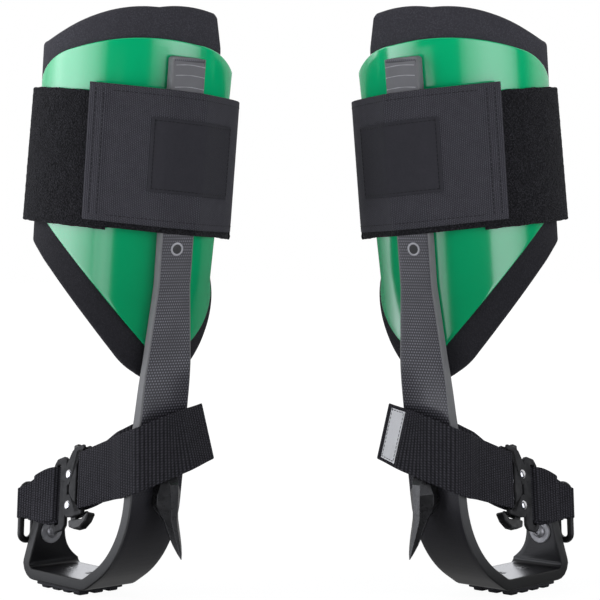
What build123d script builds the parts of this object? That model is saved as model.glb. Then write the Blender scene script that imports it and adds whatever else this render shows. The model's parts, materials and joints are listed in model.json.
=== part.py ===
from build123d import *
import os
from math import acos, atan2, cos, degrees, hypot, radians, sin, tan

os.makedirs("parts", exist_ok=True)

# A pair of tree climbers, in millimetres and degrees.
# The right-foot climber is modelled about the centre of its foot plate's top face: +X to the inside
# of the leg, -Y to the toe, +Z up. It is then turned toes out, and the left-foot climber is its mirror image.

# How the pair stands
toe_out = 48.0
pair_half_gap = 158.5

# Clearances
seat_gap = 0.3  # between a piece and what it lies against
bolt_gap = 0.05  # radial, round bolts, rivets and bushes
run_gap = 0.05  # radial, round a hinge pin

# Carbon bar: outside arm, foot plate, ramp, curve and shank
bar_thick = 8.2
bar_width = 45.0
foot_flat = 65.0
arm_height = 46.0
arm_lean = 4.0
arm_top_width = 24.0
arm_top_y = -2.5
arm_flare_start = 4.0  # height where the arm starts to narrow
arm_corner = 4.0
ramp_length = 15.0
ramp_angle = 30.0
ramp_corner = 9.0
curve_radius = 76.2
shank_lean = 9.0
narrow_start = 95.0  # height where the shank starts to narrow
taper_start = 112.0  # height where it also starts to twist
bend_height = 212.0  # height where it is at its narrowest
twist_end = 53.0  # how far below that the twist is done
upper_lean = 9.0
upper_twist = 12.0
upper_width = 25.0
upper_length = 157.0

# Rubber tread under the foot plate
tread_length = 54.0
tread_width = 40.0
tread_base = 2.5
lug_height = 2.5
lug_size = 9.0
lug_pitch = 13.0
lugs_long = 4
lugs_wide = 3
lug_taper = 8.0
tread_corner = 2.5
tread_screw_radius = 2.2
tread_screw_head = 4.4
tread_screw_pitch = 28.0

# Steel gaff on the shank's inner-leg side
stem_width = 14.0
stem_thick = 9.0
stem_top = 51.0
gaff_y = 4.0
collar_half = 10.0
collar_reach = 14.0
collar_top = 15.0
spike_reach = 17.0
spike_top = -9.5
gaff_drop = 34.5
gaff_reach = 29.0
stem_chamfer = 3.0
collar_slope = 6.0  # length of the slope from the stem out to the collar
collar_low = 8.0  # the collar is at its widest from here down to the stem's base
chin_inset = 4.0  # the spike's back edge, in from its shoulder
chin_drop = 2.0
throat = 8.0  # slope from the spike's back edge in to the shank
belly = 4.5  # hollow of the spike's back edge
spike_half = 6.0
spike_middle_half = 4.0
spike_middle_drop = 14.0
tip_half = 0.6
gaff_bolt_radius = 3.0
gaff_bolt_head = 5.4
gaff_bolt_low = 27.0
gaff_bolt_high = 43.0
gaff_nut_radius = 5.6
gaff_nut_thick = 4.0

# Cuff, pad and calf strap, about the leg's axis
cuff_radius = 70.0
cuff_wall = 2.0
cuff_heel_angle = 55.0
cuff_toe_angle = -98.0
pad_thick = 10.0
pad_heel_angle = 42.0
pad_toe_angle = -118.0
shield_angle = -24.0  # direction the cuff's outline is drawn from
tube_low = -80.0  # the tube that the cuff and pad are cut from
tube_height = 290.0
outline_margin = 5.0

# Outlines of the cuff and pad in that view, as points across to the heel and up
cuff_toe_top = 122.0
cuff_crown = (-18.0, 164.5)
cuff_shoulder = (38.0, 166.0)
cuff_corner = (57.0, 160.0)
cuff_heel_top = (64.5, 147.0)
cuff_heel_waist = (58.5, 0.0)
cuff_heel_low = (54.0, -32.0)
cuff_foot_heel = (40.0, -47.0)
cuff_foot = (25.0, -50.0)
cuff_foot_toe = (10.0, -42.0)
cuff_toe_low = 48.0
pad_toe_top = 148.0
pad_crown = (-30.0, 181.0)
pad_top = (10.0, 190.0)
pad_peak = (30.0, 191.5)
pad_shoulder = (47.5, 187.5)
pad_corner = (52.0, 184.5)
pad_heel_top = (54.0, 178.0)
pad_heel_waist = (60.0, 0.0)
pad_heel_low = (55.0, -48.0)
pad_foot_heel = (44.0, -64.0)
pad_foot = (26.0, -69.0)
pad_foot_toe = (8.0, -63.0)
pad_knuckle = (-1.0, -57.0)
pad_slant_low = (-8.0, -50.0)
pad_slant_high = (-60.0, 6.0)
pad_toe_low = 28.0

# Calf strap and flap
strap_middle = 74.3
strap_height = 94.0
strap_front_tilt = 5.9  # the strap stands higher at the front of the leg
strap_toe_tilt = 5.2  # and at the toe side
strap_wall = 2.5
band_gap = 0.4
seam_angle = 0.4
band_toe_angle = -38.0
flap_heel_angle = 75.0
flap_toe_angle = -56.0
flap_wall = 2.4
flap_rise = 5.7
flap_bend = 3.0
patch_half_width = 27.0
patch_height = 50.0
patch_rise = 2.0
patch_y = 3.5
patch_wall = 1.0

# Cuff height adjustment: bolts in the shank, slot in the cuff
cuff_travel = 12.0
cuff_bolt_radius = 3.0
cuff_bolt_head = 5.4
cuff_bolt_low = 79.0
cuff_bolt_high = 105.0
hole_pitch = 26.0
eyelet_radius = 4.5
eyelet_bore = 3.2
nut_plate_width = 14.0
nut_plate_thick = 3.0
nut_plate_margin = 12.0
nut_plate_gap = 0.7
nut_plate_room = 1.0
slot_width = 6.8

# Ankle strap and side-release buckle
webbing_thick = 2.2
webbing_width = 42.0
buckle_x = 15.0
buckle_y = -17.4
buckle_z = 62.0
strap_fall = 18.0  # slope of the front run, falling to the outside
strap_roll = 14.0  # slope across the shank, rising to the heel
buckle_lean = 16.0  # the buckle's top leans to the heel, against the boot
strap_join = 60.0  # where the strap's runs start to lean with the buckle
strap_rise = 4.0  # the strap sits above the buckle's middle, slid up its bar
heel_fold = 36.5
fold_start = 24.0  # where the two layers start to close on each other behind the shank
fold_slant = 4.5
tip_slant = 7.0
fold_width = 4.5
stem_room_toe = 12.0
stem_room_heel = 8.0
toe_turn = 8.0
boot_turn = 6.0
boot_room = 2.0
back_turn = 10.0
strap_corner = 1.5
plate_thick = 2.0
plate_half_mouth = 15.0
plate_half_cheek = 18.5
cheek_back = 2.0
fork_neck = 5.0
fork_root = 8.0
fork_tail = 4.0
fork_wall = 5.0
fork_room = 1.2
bar_overhang = 4.3
clip_thick = 3.0
clip_gap = 0.2
rivet_half_pitch = 11.5
rivet_radius = 2.4
rivet_head = 4.2
rivet_head_thick = 1.3
rivet_head_taper = 25.0
bar_back = 15.0
webbing_bar_radius = 1.6
tongue_half_nose = 7.6
tongue_nose = 5.0
mouth = 4.5
tongue_shoulder = 6.0
tongue_length = 22.5
tongue_half_height = 27.5
slot_start = 14.0
slot_length = 5.0
slot_half_height = 22.5
tongue_bevel = 2.0
shoulder_bevel = 3.0
tail_bevel = 4.0
spring_wire = 0.7
spring_foot = (-8.3, 8.9)
spring_bend = -6.1
ear_start = -3.0
ear_length = 27.0
ear_low = 34.2
ear_high = 38.2
ear_half_thick = 5.0

# Outline of a release clip in the buckle's frame: catch, pivot cheek, ear, tail
clip_outline = [
    (5, 8), (5, 12), (3.5, 16), (-1.5, 19), (-3, 36), (-8.4, 36), (-8.4, 24), (-9.4, 17),
    (-8.6, 9.5), (-6.5, 9), (-2, 8.6),
]

# Ring and chape on the outside arm
anchor_height = 26.0
anchor_y = -3.5
anchor_bolt_radius = 2.5
anchor_head_radius = 4.8
anchor_head_thick = 3.0
anchor_washer_radius = 9.0
anchor_washer_thick = 1.6
anchor_nut_radius = 4.6
anchor_nut_thick = 4.0
chape_thick = 1.6
chape_width = 14.0
chape_shift = -1.0
chape_corner = 3.0
eye_length = 10.0
eye_rise = 12.0
ring_wire = 2.5
ring_height = 46.0
ring_width = 11.0
ring_corner = 5.0
ring_y = -11.0
ring_rise = 16.0
ring_gap = 0.2
webbing_side_room = 1.0
webbing_layers = 2
ring_layers = 1.5
ring_webbing = 23.0  # the webbing's width where it turns round the ring
ring_webbing_rise = 7.0  # it turns above the ring's middle

# Blank tag on the left climber's ankle strap
tag_width = 13.0
tag_height = 36.0
tag_thick = 0.6
tag_corner = 0.5
tag_lift = 1.0


def turn(angle):
    return cos(radians(angle)), sin(radians(angle))


# Lines of the bar, in the plane of the leg's inside and outside
ramp_foot = Vector(foot_flat / 2, 0, 0)
ramp_cos, ramp_sin = turn(ramp_angle)
ramp_top = ramp_foot + Vector(ramp_cos, 0, ramp_sin) * ramp_length
lean_cos, lean_sin = turn(shank_lean)
shank_up = Vector(lean_sin, 0, lean_cos)
shank_out = Vector(lean_cos, 0, -lean_sin)
curve_middle = ramp_top + Vector(-ramp_sin, 0, ramp_cos) * curve_radius
curve_end = curve_middle + shank_out * curve_radius
arm_root = Vector(-foot_flat / 2, 0, 0)
arm_cos, arm_sin = turn(arm_lean)
arm_up = Vector(arm_sin, 0, arm_cos)
arm_out = Vector(-arm_cos, 0, arm_sin)


def shank_face(height):
    # a point on the middle of the boot-side face of the lower shank
    return curve_end + shank_up * ((height - curve_end.Z) / lean_cos)


def flat(point):
    # a point of the bar's plane as a sketch point
    return point.X, point.Z


# Frame of the leg: the axis of the cuff, with its X through the upper shank
bend = shank_face(bend_height)
twist_cos, twist_sin = turn(upper_twist)
upper_cos, upper_sin = turn(upper_lean)
inward = Vector(twist_cos, -twist_sin, 0)
leg_up = inward * upper_sin + Vector(0, 0, upper_cos)
leg_out = inward * upper_cos - Vector(0, 0, upper_sin)
bar_seat = cuff_radius + seat_gap
bar_front = bar_seat + bar_thick
leg = Plane(origin=bend - leg_out * bar_seat, x_dir=leg_out, z_dir=leg_up)

# Shank with its foot plate and arm
anchor_point = arm_root + arm_up * (anchor_height / arm_cos) + Vector(0, anchor_y, 0)
anchor_inner = Plane(origin=anchor_point, x_dir=(0, 1, 0), z_dir=-arm_out)
anchor_outer = Plane(origin=anchor_point + arm_out * bar_thick, x_dir=(0, 1, 0), z_dir=arm_out)
stem_base = curve_end + shank_out * bar_thick + Vector(0, gaff_y, 0)
stem_face = Plane(origin=stem_base + shank_out * stem_thick, x_dir=(0, 1, 0), z_dir=shank_out)
gaff_bolt_planes = [
    Plane(origin=stem_face.origin + shank_up * place, x_dir=(0, 1, 0), z_dir=shank_out)
    for place in (gaff_bolt_low, gaff_bolt_high)
]
cuff_bolt_planes = [
    Plane(origin=leg.origin + leg_out * bar_front + leg_up * place, x_dir=leg.y_dir, z_dir=leg_out)
    for place in (cuff_bolt_low, cuff_bolt_high)
]
eyelet_planes = [
    Plane(origin=leg.origin + leg_out * bar_front + leg_up * place, x_dir=leg.y_dir, z_dir=leg_out)
    for place in (cuff_bolt_low - 2 * hole_pitch, cuff_bolt_low - hole_pitch)
]
tread_screw_places = [(-tread_screw_pitch / 2, 0), (tread_screw_pitch / 2, 0)]
top = (Align.CENTER, Align.CENTER, Align.MAX)
bottom = (Align.CENTER, Align.CENTER, Align.MIN)


def flat_head_bolt(radius, head_radius, length):
    # a bolt below the active plane, its conical head level with it
    Cylinder(radius, length, align=top)
    Cone(radius, head_radius, head_radius - radius, align=top)


def countersunk_hole(radius, head_radius, length):
    # the hole such a bolt goes into, with its clearance
    Cylinder(radius + bolt_gap, length, align=top, mode=Mode.SUBTRACT)
    depth = head_radius - radius
    Cone(radius + bolt_gap, head_radius + bolt_gap, depth, align=top, mode=Mode.SUBTRACT)


with BuildPart() as shank:
    with BuildSketch(Plane.XZ):
        with BuildLine():
            arm_top = arm_root + arm_up * (arm_height / arm_cos)
            corners = [flat(arm_top), flat(arm_root), flat(ramp_foot), flat(ramp_top)]
            FilletPolyline(*corners, radius=[arm_corner, ramp_corner])
            sweep_angle = 90 - shank_lean - ramp_angle
            curve = JernArc(flat(ramp_top), (ramp_cos, ramp_sin), curve_radius, sweep_angle)
            Line(curve @ 1, flat(shank_face(taper_start)))
            offset(amount=bar_thick, side=Side.RIGHT)
        make_face()
    extrude(amount=bar_width / 2, both=True)
    # the arm narrows to a round top, straight at the toe and hollow at the heel
    arm_half = arm_top_width / 2
    arm_shoulder = arm_height - arm_half
    with BuildSketch(Plane.YZ.offset(-foot_flat)):
        with Locations((0, arm_flare_start)):
            Rectangle(2 * bar_width, 2 * arm_height, align=(Align.CENTER, Align.MIN))
        with BuildLine():
            toe_side = arm_top_y - arm_half
            heel_side = arm_top_y + arm_half
            Line((-bar_width / 2, arm_flare_start), (toe_side, arm_shoulder))
            ThreePointArc((toe_side, arm_shoulder), (arm_top_y, arm_height), (heel_side, arm_shoulder))
            hollow = arm_flare_start + (arm_shoulder - arm_flare_start) / 3
            hollow_y = heel_side + (bar_width / 2 - heel_side) / 4
            ThreePointArc((heel_side, arm_shoulder), (hollow_y, hollow), (bar_width / 2, arm_flare_start))
            Line((bar_width / 2, arm_flare_start), (-bar_width / 2, arm_flare_start))
        make_face(mode=Mode.SUBTRACT)
    extrude(amount=foot_flat - foot_flat / 4, mode=Mode.SUBTRACT)
    # the shank narrows, then also twists up to the bend, and runs straight beside the cuff
    narrow_rate = (bar_width - upper_width) / (bend_height - narrow_start)
    taper_width = bar_width - narrow_rate * (taper_start - narrow_start)
    twist_width = upper_width + narrow_rate * twist_end
    with BuildSketch(Plane.YZ.offset(foot_flat / 2)):
        with BuildLine():
            Polyline((bar_width / 2, narrow_start), (bar_width, narrow_start), (bar_width, bend_height),
                     (taper_width / 2, bend_height), (taper_width / 2, taper_start), close=True)
        make_face()
        mirror(about=Plane.YZ)
    extrude(amount=2 * bar_width + foot_flat, mode=Mode.SUBTRACT)
    taper_middle = shank_face(taper_start) + shank_out * (bar_thick / 2)
    with BuildSketch(Plane(origin=taper_middle, x_dir=shank_out, z_dir=shank_up)):
        Rectangle(bar_thick, taper_width)
    with BuildSketch(leg.offset(-twist_end)):
        with Locations((bar_seat + bar_thick / 2, 0)):
            Rectangle(bar_thick, twist_width)
    loft()
    with BuildSketch(leg.offset(-twist_end)):
        with Locations((bar_seat + bar_thick / 2, 0)):
            Rectangle(bar_thick, twist_width)
    with BuildSketch(leg):
        with Locations((bar_seat + bar_thick / 2, 0)):
            Rectangle(bar_thick, upper_width)
    loft()
    with BuildSketch(leg):
        with Locations((bar_seat + bar_thick / 2, 0)):
            Rectangle(bar_thick, upper_width)
    extrude(amount=upper_length)
    with Locations(*gaff_bolt_planes):
        Cylinder(gaff_bolt_radius + bolt_gap, 2 * (stem_thick + bar_thick), align=top, mode=Mode.SUBTRACT)
    with Locations(*cuff_bolt_planes):
        countersunk_hole(cuff_bolt_radius, cuff_bolt_head, 2 * bar_thick)
    with Locations(*eyelet_planes):
        Cylinder(eyelet_radius + bolt_gap, 2 * bar_thick, mode=Mode.SUBTRACT)
    with Locations(anchor_inner):
        Cylinder(anchor_bolt_radius + bolt_gap, 4 * bar_thick, mode=Mode.SUBTRACT)
    with Locations(*tread_screw_places):
        countersunk_hole(tread_screw_radius, tread_screw_head, 2 * bar_thick)

with BuildPart() as hole_eyelets:
    with Locations(*eyelet_planes):
        Cylinder(eyelet_radius, bar_thick, align=top)
        Cylinder(eyelet_bore, 2 * bar_thick, mode=Mode.SUBTRACT)

# Tread and its screws
with BuildPart() as stirrup_tread:
    with BuildSketch(Plane.XY.offset(-bar_thick)):
        RectangleRounded(tread_length, tread_width, tread_corner)
    extrude(amount=-tread_base)
    with BuildSketch(Plane.XY.offset(-bar_thick - tread_base)):
        with GridLocations(lug_pitch, lug_pitch, lugs_long, lugs_wide):
            Rectangle(lug_size, lug_size)
    extrude(amount=-lug_height, taper=lug_taper)
    with Locations(*tread_screw_places):
        Cylinder(tread_screw_radius + bolt_gap, bar_thick + tread_base, align=top, mode=Mode.SUBTRACT)

with BuildPart() as tread_screws:
    with Locations(*tread_screw_places):
        flat_head_bolt(tread_screw_radius, tread_screw_head, bar_thick + tread_base)

# Gaff: a side view cut by a front view, so that the spike has flat facets
gaff_side = Plane(origin=stem_base, x_dir=shank_out, z_dir=(0, -1, 0))
gaff_front = Plane(origin=stem_base, x_dir=(0, 1, 0), z_dir=shank_out)
with BuildPart() as gaff:
    with BuildSketch(gaff_side):
        with BuildLine():
            tip = (gaff_reach, -gaff_drop)
            chin = (spike_reach - chin_inset, spike_top - chin_drop)
            hollow_x = (gaff_reach + chin[0]) / 2 - belly / 4
            hollow_z = (chin[1] - gaff_drop) / 2 - belly
            Polyline(chin, (chin[0] / 2, chin[1] + throat), (0, chin[1] + throat), (0, stem_top),
                     (stem_thick - stem_chamfer, stem_top), (stem_thick, stem_top - stem_chamfer),
                     (stem_thick, collar_top + collar_slope), (collar_reach, collar_top),
                     (spike_reach, spike_top), tip)
            ThreePointArc(tip, (hollow_x, hollow_z), chin)
        make_face()
    extrude(amount=collar_half, both=True)
    with BuildSketch(gaff_front):
        with BuildLine():
            stem_half = stem_width / 2
            above = stem_top + stem_chamfer
            Polyline((0, above), (stem_half, above), (stem_half, collar_top), (collar_half, collar_low),
                     (collar_half, 0), (spike_half, spike_top),
                     (spike_middle_half, spike_top - spike_middle_drop),
                     (tip_half, -gaff_drop), (0, -gaff_drop))
            mirror(about=Plane.YZ)
        make_face()
    extrude(amount=2 * gaff_reach, mode=Mode.INTERSECT)
    with Locations(*gaff_bolt_planes):
        countersunk_hole(gaff_bolt_radius, gaff_bolt_head, 2 * stem_thick)

with BuildPart() as gaff_bolts:
    with Locations(*gaff_bolt_planes):
        flat_head_bolt(gaff_bolt_radius, gaff_bolt_head, stem_thick + bar_thick + gaff_nut_thick)

with BuildPart() as gaff_nuts:
    for plane in gaff_bolt_planes:
        with BuildSketch(plane.offset(-stem_thick - bar_thick)):
            RegularPolygon(gaff_nut_radius, 6)
            Circle(gaff_bolt_radius + bolt_gap, mode=Mode.SUBTRACT)
        extrude(amount=-gaff_nut_thick)

# Cuff bolts in the shank and the tapped plate behind the cuff's slot
plate_face = cuff_radius - cuff_wall - nut_plate_gap
plate_floor = plate_face - nut_plate_thick
plate_low = cuff_bolt_low - nut_plate_margin
plate_high = cuff_bolt_high + nut_plate_margin
with BuildPart() as cuff_bolts:
    with Locations(*cuff_bolt_planes):
        flat_head_bolt(cuff_bolt_radius, cuff_bolt_head, bar_front - plate_floor)

with BuildPart() as cuff_nut_plate:
    with BuildSketch(leg.offset(plate_low)):
        with Locations((plate_floor + nut_plate_thick / 2, 0)):
            Rectangle(nut_plate_thick, nut_plate_width)
    extrude(amount=plate_high - plate_low)
    with Locations(*cuff_bolt_planes):
        Cylinder(cuff_bolt_radius + bolt_gap, 2 * bar_front, mode=Mode.SUBTRACT)


def sector(inner, outer, start, end):
    # lines of a piece of a ring about the leg's axis, from one angle round to another
    outside = CenterArc((0, 0), outer, start, end - start)
    inside = CenterArc((0, 0), inner, start, end - start)
    Line(outside @ 0, inside @ 0)
    Line(outside @ 1, inside @ 1)


# Cuff and pad: pieces of a tube, cut to a shield seen from the shin's inner side
shield_cos, shield_sin = turn(shield_angle)
shield = Plane(
    origin=leg.origin,
    x_dir=leg.y_dir * shield_cos - leg.x_dir * shield_sin,
    z_dir=leg.x_dir * shield_cos + leg.y_dir * shield_sin,
)
edge_out = cuff_radius + outline_margin
with BuildPart() as cuff_shell:
    with BuildSketch(leg.offset(tube_low)):
        with BuildLine():
            sector(cuff_radius - cuff_wall, cuff_radius, cuff_heel_angle, cuff_toe_angle)
        make_face()
    extrude(amount=tube_height)
    with BuildSketch(shield):
        with BuildLine():
            ThreePointArc((-edge_out, cuff_toe_top), cuff_crown, cuff_shoulder)
            ThreePointArc(cuff_shoulder, cuff_corner, cuff_heel_top)
            Line(cuff_heel_top, cuff_heel_waist)
            ThreePointArc(cuff_heel_waist, cuff_heel_low, cuff_foot_heel)
            ThreePointArc(cuff_foot_heel, cuff_foot, cuff_foot_toe)
            Polyline(cuff_foot_toe, (-edge_out, cuff_toe_low), (-edge_out, cuff_toe_top))
        make_face()
    extrude(amount=2 * cuff_radius, mode=Mode.INTERSECT)
    slot_half = (cuff_bolt_high - cuff_bolt_low) / 2 + cuff_travel + slot_width / 2
    slot_middle = (cuff_bolt_low + cuff_bolt_high) / 2
    slot_plane = Plane(origin=leg.origin + leg_up * slot_middle, x_dir=leg_up, z_dir=leg_out)
    with BuildSketch(slot_plane):
        SlotOverall(2 * slot_half, slot_width)
    extrude(amount=2 * cuff_radius, mode=Mode.SUBTRACT)

pad_outer = cuff_radius - cuff_wall - seat_gap
with BuildPart() as cuff_pad:
    with BuildSketch(leg.offset(tube_low)):
        with BuildLine():
            sector(pad_outer - pad_thick, pad_outer, pad_heel_angle, pad_toe_angle)
        make_face()
    extrude(amount=tube_height)
    with BuildSketch(shield):
        with BuildLine():
            ThreePointArc((-edge_out, pad_toe_top), pad_crown, pad_top)
            ThreePointArc(pad_top, pad_peak, pad_shoulder)
            ThreePointArc(pad_shoulder, pad_corner, pad_heel_top)
            Line(pad_heel_top, pad_heel_waist)
            ThreePointArc(pad_heel_waist, pad_heel_low, pad_foot_heel)
            ThreePointArc(pad_foot_heel, pad_foot, pad_foot_toe)
            ThreePointArc(pad_foot_toe, pad_knuckle, pad_slant_low)
            Polyline(pad_slant_low, pad_slant_high, (-edge_out, pad_toe_low), (-edge_out, pad_toe_top))
        make_face()
    extrude(amount=2 * cuff_radius, mode=Mode.INTERSECT)
    # hollow that the nut plate rides in
    with BuildSketch(leg.offset(plate_low - cuff_travel - nut_plate_room)):
        with Locations((plate_floor - seat_gap, 0)):
            hollow_width = nut_plate_width + 2 * nut_plate_room
            Rectangle(2 * pad_thick, hollow_width, align=(Align.MIN, Align.CENTER))
    extrude(amount=plate_high - plate_low + 2 * (cuff_travel + nut_plate_room), mode=Mode.SUBTRACT)

# Calf strap: a band round the back of the leg, and a flap over the shank
band_inner = cuff_radius + band_gap
band_outer = band_inner + strap_wall
band_end = flap_heel_angle - 360 + seam_angle
strap_normal = (leg.z_dir - leg.x_dir * tan(radians(strap_front_tilt))
                + leg.y_dir * tan(radians(strap_toe_tilt)))


def trim_strip(middle, height):
    # cuts a strip round the leg to its height, between two slanted planes
    slant = Plane(origin=leg.offset(middle).origin, z_dir=strap_normal)
    split(bisect_by=slant.offset(height / 2), keep=Keep.BOTTOM)
    split(bisect_by=slant.offset(-height / 2), keep=Keep.TOP)


with BuildPart() as calf_strap:
    with BuildSketch(leg.offset(strap_middle)):
        with BuildLine():
            sector(band_inner, band_outer, band_toe_angle, band_end)
        make_face()
    extrude(amount=strap_height, both=True)
    trim_strip(strap_middle, strap_height)


def flap_path(out):
    # the flap's line, at a distance out from its under side: round the heel side of the calf,
    # straight to the shank's edges and over its face, then round the toe side over the band
    heel_radius = band_inner + out
    toe_radius = band_outer + seat_gap + out
    face = bar_front + seat_gap + out
    edge = upper_width / 2 + seat_gap + out / 2
    reach = hypot(face, edge)
    heel_touch = degrees(atan2(edge, face) + acos(heel_radius / reach))
    toe_touch = -degrees(atan2(edge, face) + acos(toe_radius / reach))
    heel = CenterArc((0, 0), heel_radius, flap_heel_angle, heel_touch - flap_heel_angle)
    toe = CenterArc((0, 0), toe_radius, toe_touch, flap_toe_angle - toe_touch)
    FilletPolyline(heel @ 1, (face, edge), (face, -edge), toe @ 0, radius=flap_bend + out)
    return heel @ 0, toe @ 1


def flap_layer(low, high):
    # outline of a layer of the flap
    low_start, low_end = flap_path(low)
    high_start, high_end = flap_path(high)
    Line(low_start, high_start)
    Line(low_end, high_end)


flap_middle = strap_middle + flap_rise
with BuildPart() as strap_flap:
    with BuildSketch(leg.offset(flap_middle)):
        with BuildLine():
            flap_layer(0, flap_wall)
        make_face()
    extrude(amount=strap_height, both=True)
    trim_strip(flap_middle, strap_height)

patch_middle = flap_middle + patch_rise
with BuildPart() as flap_patch:
    with BuildSketch(leg.offset(patch_middle)):
        with BuildLine():
            flap_layer(flap_wall, flap_wall + patch_wall)
        make_face()
        with Locations((bar_front, patch_y)):
            Rectangle(bar_front, 2 * patch_half_width, mode=Mode.INTERSECT)
    extrude(amount=patch_height, both=True)
    trim_strip(patch_middle, patch_height)

# Buckle frame: X to the outside along the strap, Y up across it, Z to the heel
fall_cos, fall_sin = turn(strap_fall)
strap_across = Vector(-fall_sin, 0, fall_cos)
buckle = Plane(
    origin=(buckle_x, buckle_y, buckle_z),
    x_dir=(-fall_cos, 0, -fall_sin),
    z_dir=Vector(0, 1, 0) - strap_across * tan(radians(buckle_lean)),
)
half_clip = clip_thick / 2
half_inside = half_clip + clip_gap
half_outside = half_inside + plate_thick
half_webbing = webbing_width / 2

# Ankle strap: one closed loop round the shank, gaff stem and webbing bar, sloping to the buckle
strap_slant = Vector(-tan(radians(strap_fall)), -tan(radians(strap_roll)), 1)
strap_slope = Plane(origin=buckle.origin + Vector(0, 0, strap_rise), z_dir=strap_slant)
bar_loop = webbing_bar_radius + seat_gap
loop_front = buckle_y - bar_loop
loop_back = buckle_y + bar_loop
toe_edge = -bar_width / 2 - 2 * seat_gap
strap_crown = shank_face(bend_height / 2 + half_webbing / 2 + strap_rise)
stem_side = strap_crown.X + (bar_thick + stem_thick) / lean_cos + seat_gap
boot_side = curve_end.X - gaff_nut_thick - boot_room
fold_near = (stem_side - fold_slant, fold_start)
fold_tip = (stem_side - tip_slant, heel_fold)
with BuildPart() as ankle_strap:
    with BuildSketch(Plane.XY):
        with BuildLine():
            FilletPolyline(
                (0, loop_front), (boot_side - toe_turn, loop_front), (boot_side + boot_turn, toe_edge),
                (stem_side - toe_turn, toe_edge), (stem_side, gaff_y - stem_room_toe),
                (stem_side, gaff_y + stem_room_heel), fold_near, fold_tip,
                (fold_tip[0] - fold_width, heel_fold), (boot_side, fold_start), (boot_side, -toe_turn),
                (boot_side - back_turn, loop_back), (0, loop_back), radius=strap_corner, close=True,
            )
        inside = make_face()
        offset(amount=webbing_thick)
        add(inside, mode=Mode.SUBTRACT)
    extrude(amount=4 * webbing_width)
    split(bisect_by=strap_slope.offset(half_webbing), keep=Keep.BOTTOM)
    split(bisect_by=strap_slope.offset(-half_webbing), keep=Keep.TOP)
    run_start = Plane.YZ.offset(strap_join)
    split(bisect_by=run_start, keep=Keep.TOP)
    # the two runs to the buckle, which lean with it
    bar_end = Plane(origin=buckle.origin - buckle.x_dir * bar_back, x_dir=buckle.z_dir, z_dir=-buckle.x_dir)
    run_height = buckle_z + strap_rise + (strap_join - buckle_x) * tan(radians(strap_fall))
    run_half = half_webbing * strap_slant.length
    for near, far in ((-bar_loop, -bar_loop - webbing_thick), (bar_loop, bar_loop + webbing_thick)):
        section = [(near, -1), (far, -1), (far, 1), (near, 1)]
        with BuildSketch(run_start):
            Polygon(*[(buckle_y + out, run_height + out * tan(radians(strap_roll)) + end * run_half)
                      for out, end in section], align=None)
        with BuildSketch(bar_end):
            Polygon(*[(out, strap_rise + end * half_webbing) for out, end in section], align=None)
        loft()
    # the turn round the webbing bar
    bar_plane = Plane(origin=bar_end.origin, x_dir=buckle.x_dir, z_dir=buckle.y_dir)
    with BuildSketch(bar_plane.offset(strap_rise)):
        Circle(bar_loop + webbing_thick)
        Circle(bar_loop, mode=Mode.SUBTRACT)
        Rectangle(webbing_width, webbing_width, align=(Align.MAX, Align.CENTER), mode=Mode.SUBTRACT)
    extrude(amount=half_webbing, both=True)

with BuildPart() as buckle_webbing_bar:
    with BuildSketch(bar_plane):
        Circle(webbing_bar_radius)
    extrude(amount=half_webbing + strap_rise + bar_overhang, both=True)

# Buckle plates: a fork that holds the webbing bar's ends
fork_inner = half_webbing + strap_rise + fork_room
fork_outer = fork_inner + fork_wall
fork_end = -bar_back - fork_tail
body_back = -bar_back + bar_loop + webbing_thick + clip_gap * 4
rivet_places = [(0, rivet_half_pitch), (0, -rivet_half_pitch)]
plate_half = [
    (mouth, plate_half_mouth), (cheek_back, plate_half_cheek), (-fork_neck, fork_outer - cheek_back),
    (-fork_root, fork_outer), (fork_end, fork_outer), (fork_end, fork_inner), (body_back, fork_inner),
]
plate_outline = plate_half + [(along, -across) for along, across in reversed(plate_half)]

with BuildPart() as buckle_base_plate:
    with BuildSketch(buckle.offset(half_inside)):
        Polygon(*plate_outline, align=None)
        with Locations(*rivet_places):
            Circle(rivet_radius + bolt_gap, mode=Mode.SUBTRACT)
    extrude(amount=plate_thick)

with BuildPart() as buckle_cover_plate:
    with BuildSketch(buckle.offset(-half_inside)):
        Polygon(*plate_outline, align=None)
        with Locations(*rivet_places):
            Circle(rivet_radius + bolt_gap, mode=Mode.SUBTRACT)
    extrude(amount=-plate_thick)

with BuildPart() as buckle_rivets:
    with BuildSketch(buckle):
        with Locations(*rivet_places):
            Circle(rivet_radius)
    extrude(amount=half_outside, both=True)
    for side in (1, -1):
        with BuildSketch(buckle.offset(side * half_outside)):
            with Locations(*rivet_places):
                Circle(rivet_head)
        extrude(amount=side * rivet_head_thick, taper=rivet_head_taper)

# Release clips: levers about the rivets, with a catch beside the tongue and an ear outside the plates
with BuildPart() as upper_release_clip:
    with BuildSketch(buckle):
        Polygon(*clip_outline, align=None)
        with Locations((0, rivet_half_pitch)):
            Circle(rivet_radius + run_gap, mode=Mode.SUBTRACT)
    extrude(amount=half_clip, both=True)
    with BuildSketch(buckle):
        with Locations((ear_start, ear_low)):
            Rectangle(ear_length, ear_high - ear_low, align=(Align.MAX, Align.MIN))
    extrude(amount=ear_half_thick, both=True)

with BuildPart() as lower_release_clip:
    mirror(upper_release_clip.part, about=Plane(origin=buckle.origin, z_dir=buckle.y_dir))

with BuildPart() as clip_spring:
    with BuildSketch(buckle):
        with BuildLine():
            Polyline(spring_foot, (spring_bend, 0), (spring_foot[0], -spring_foot[1]))
            offset(amount=spring_wire, side=Side.LEFT)
        make_face()
    extrude(amount=half_clip - clip_gap, both=True)

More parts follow.
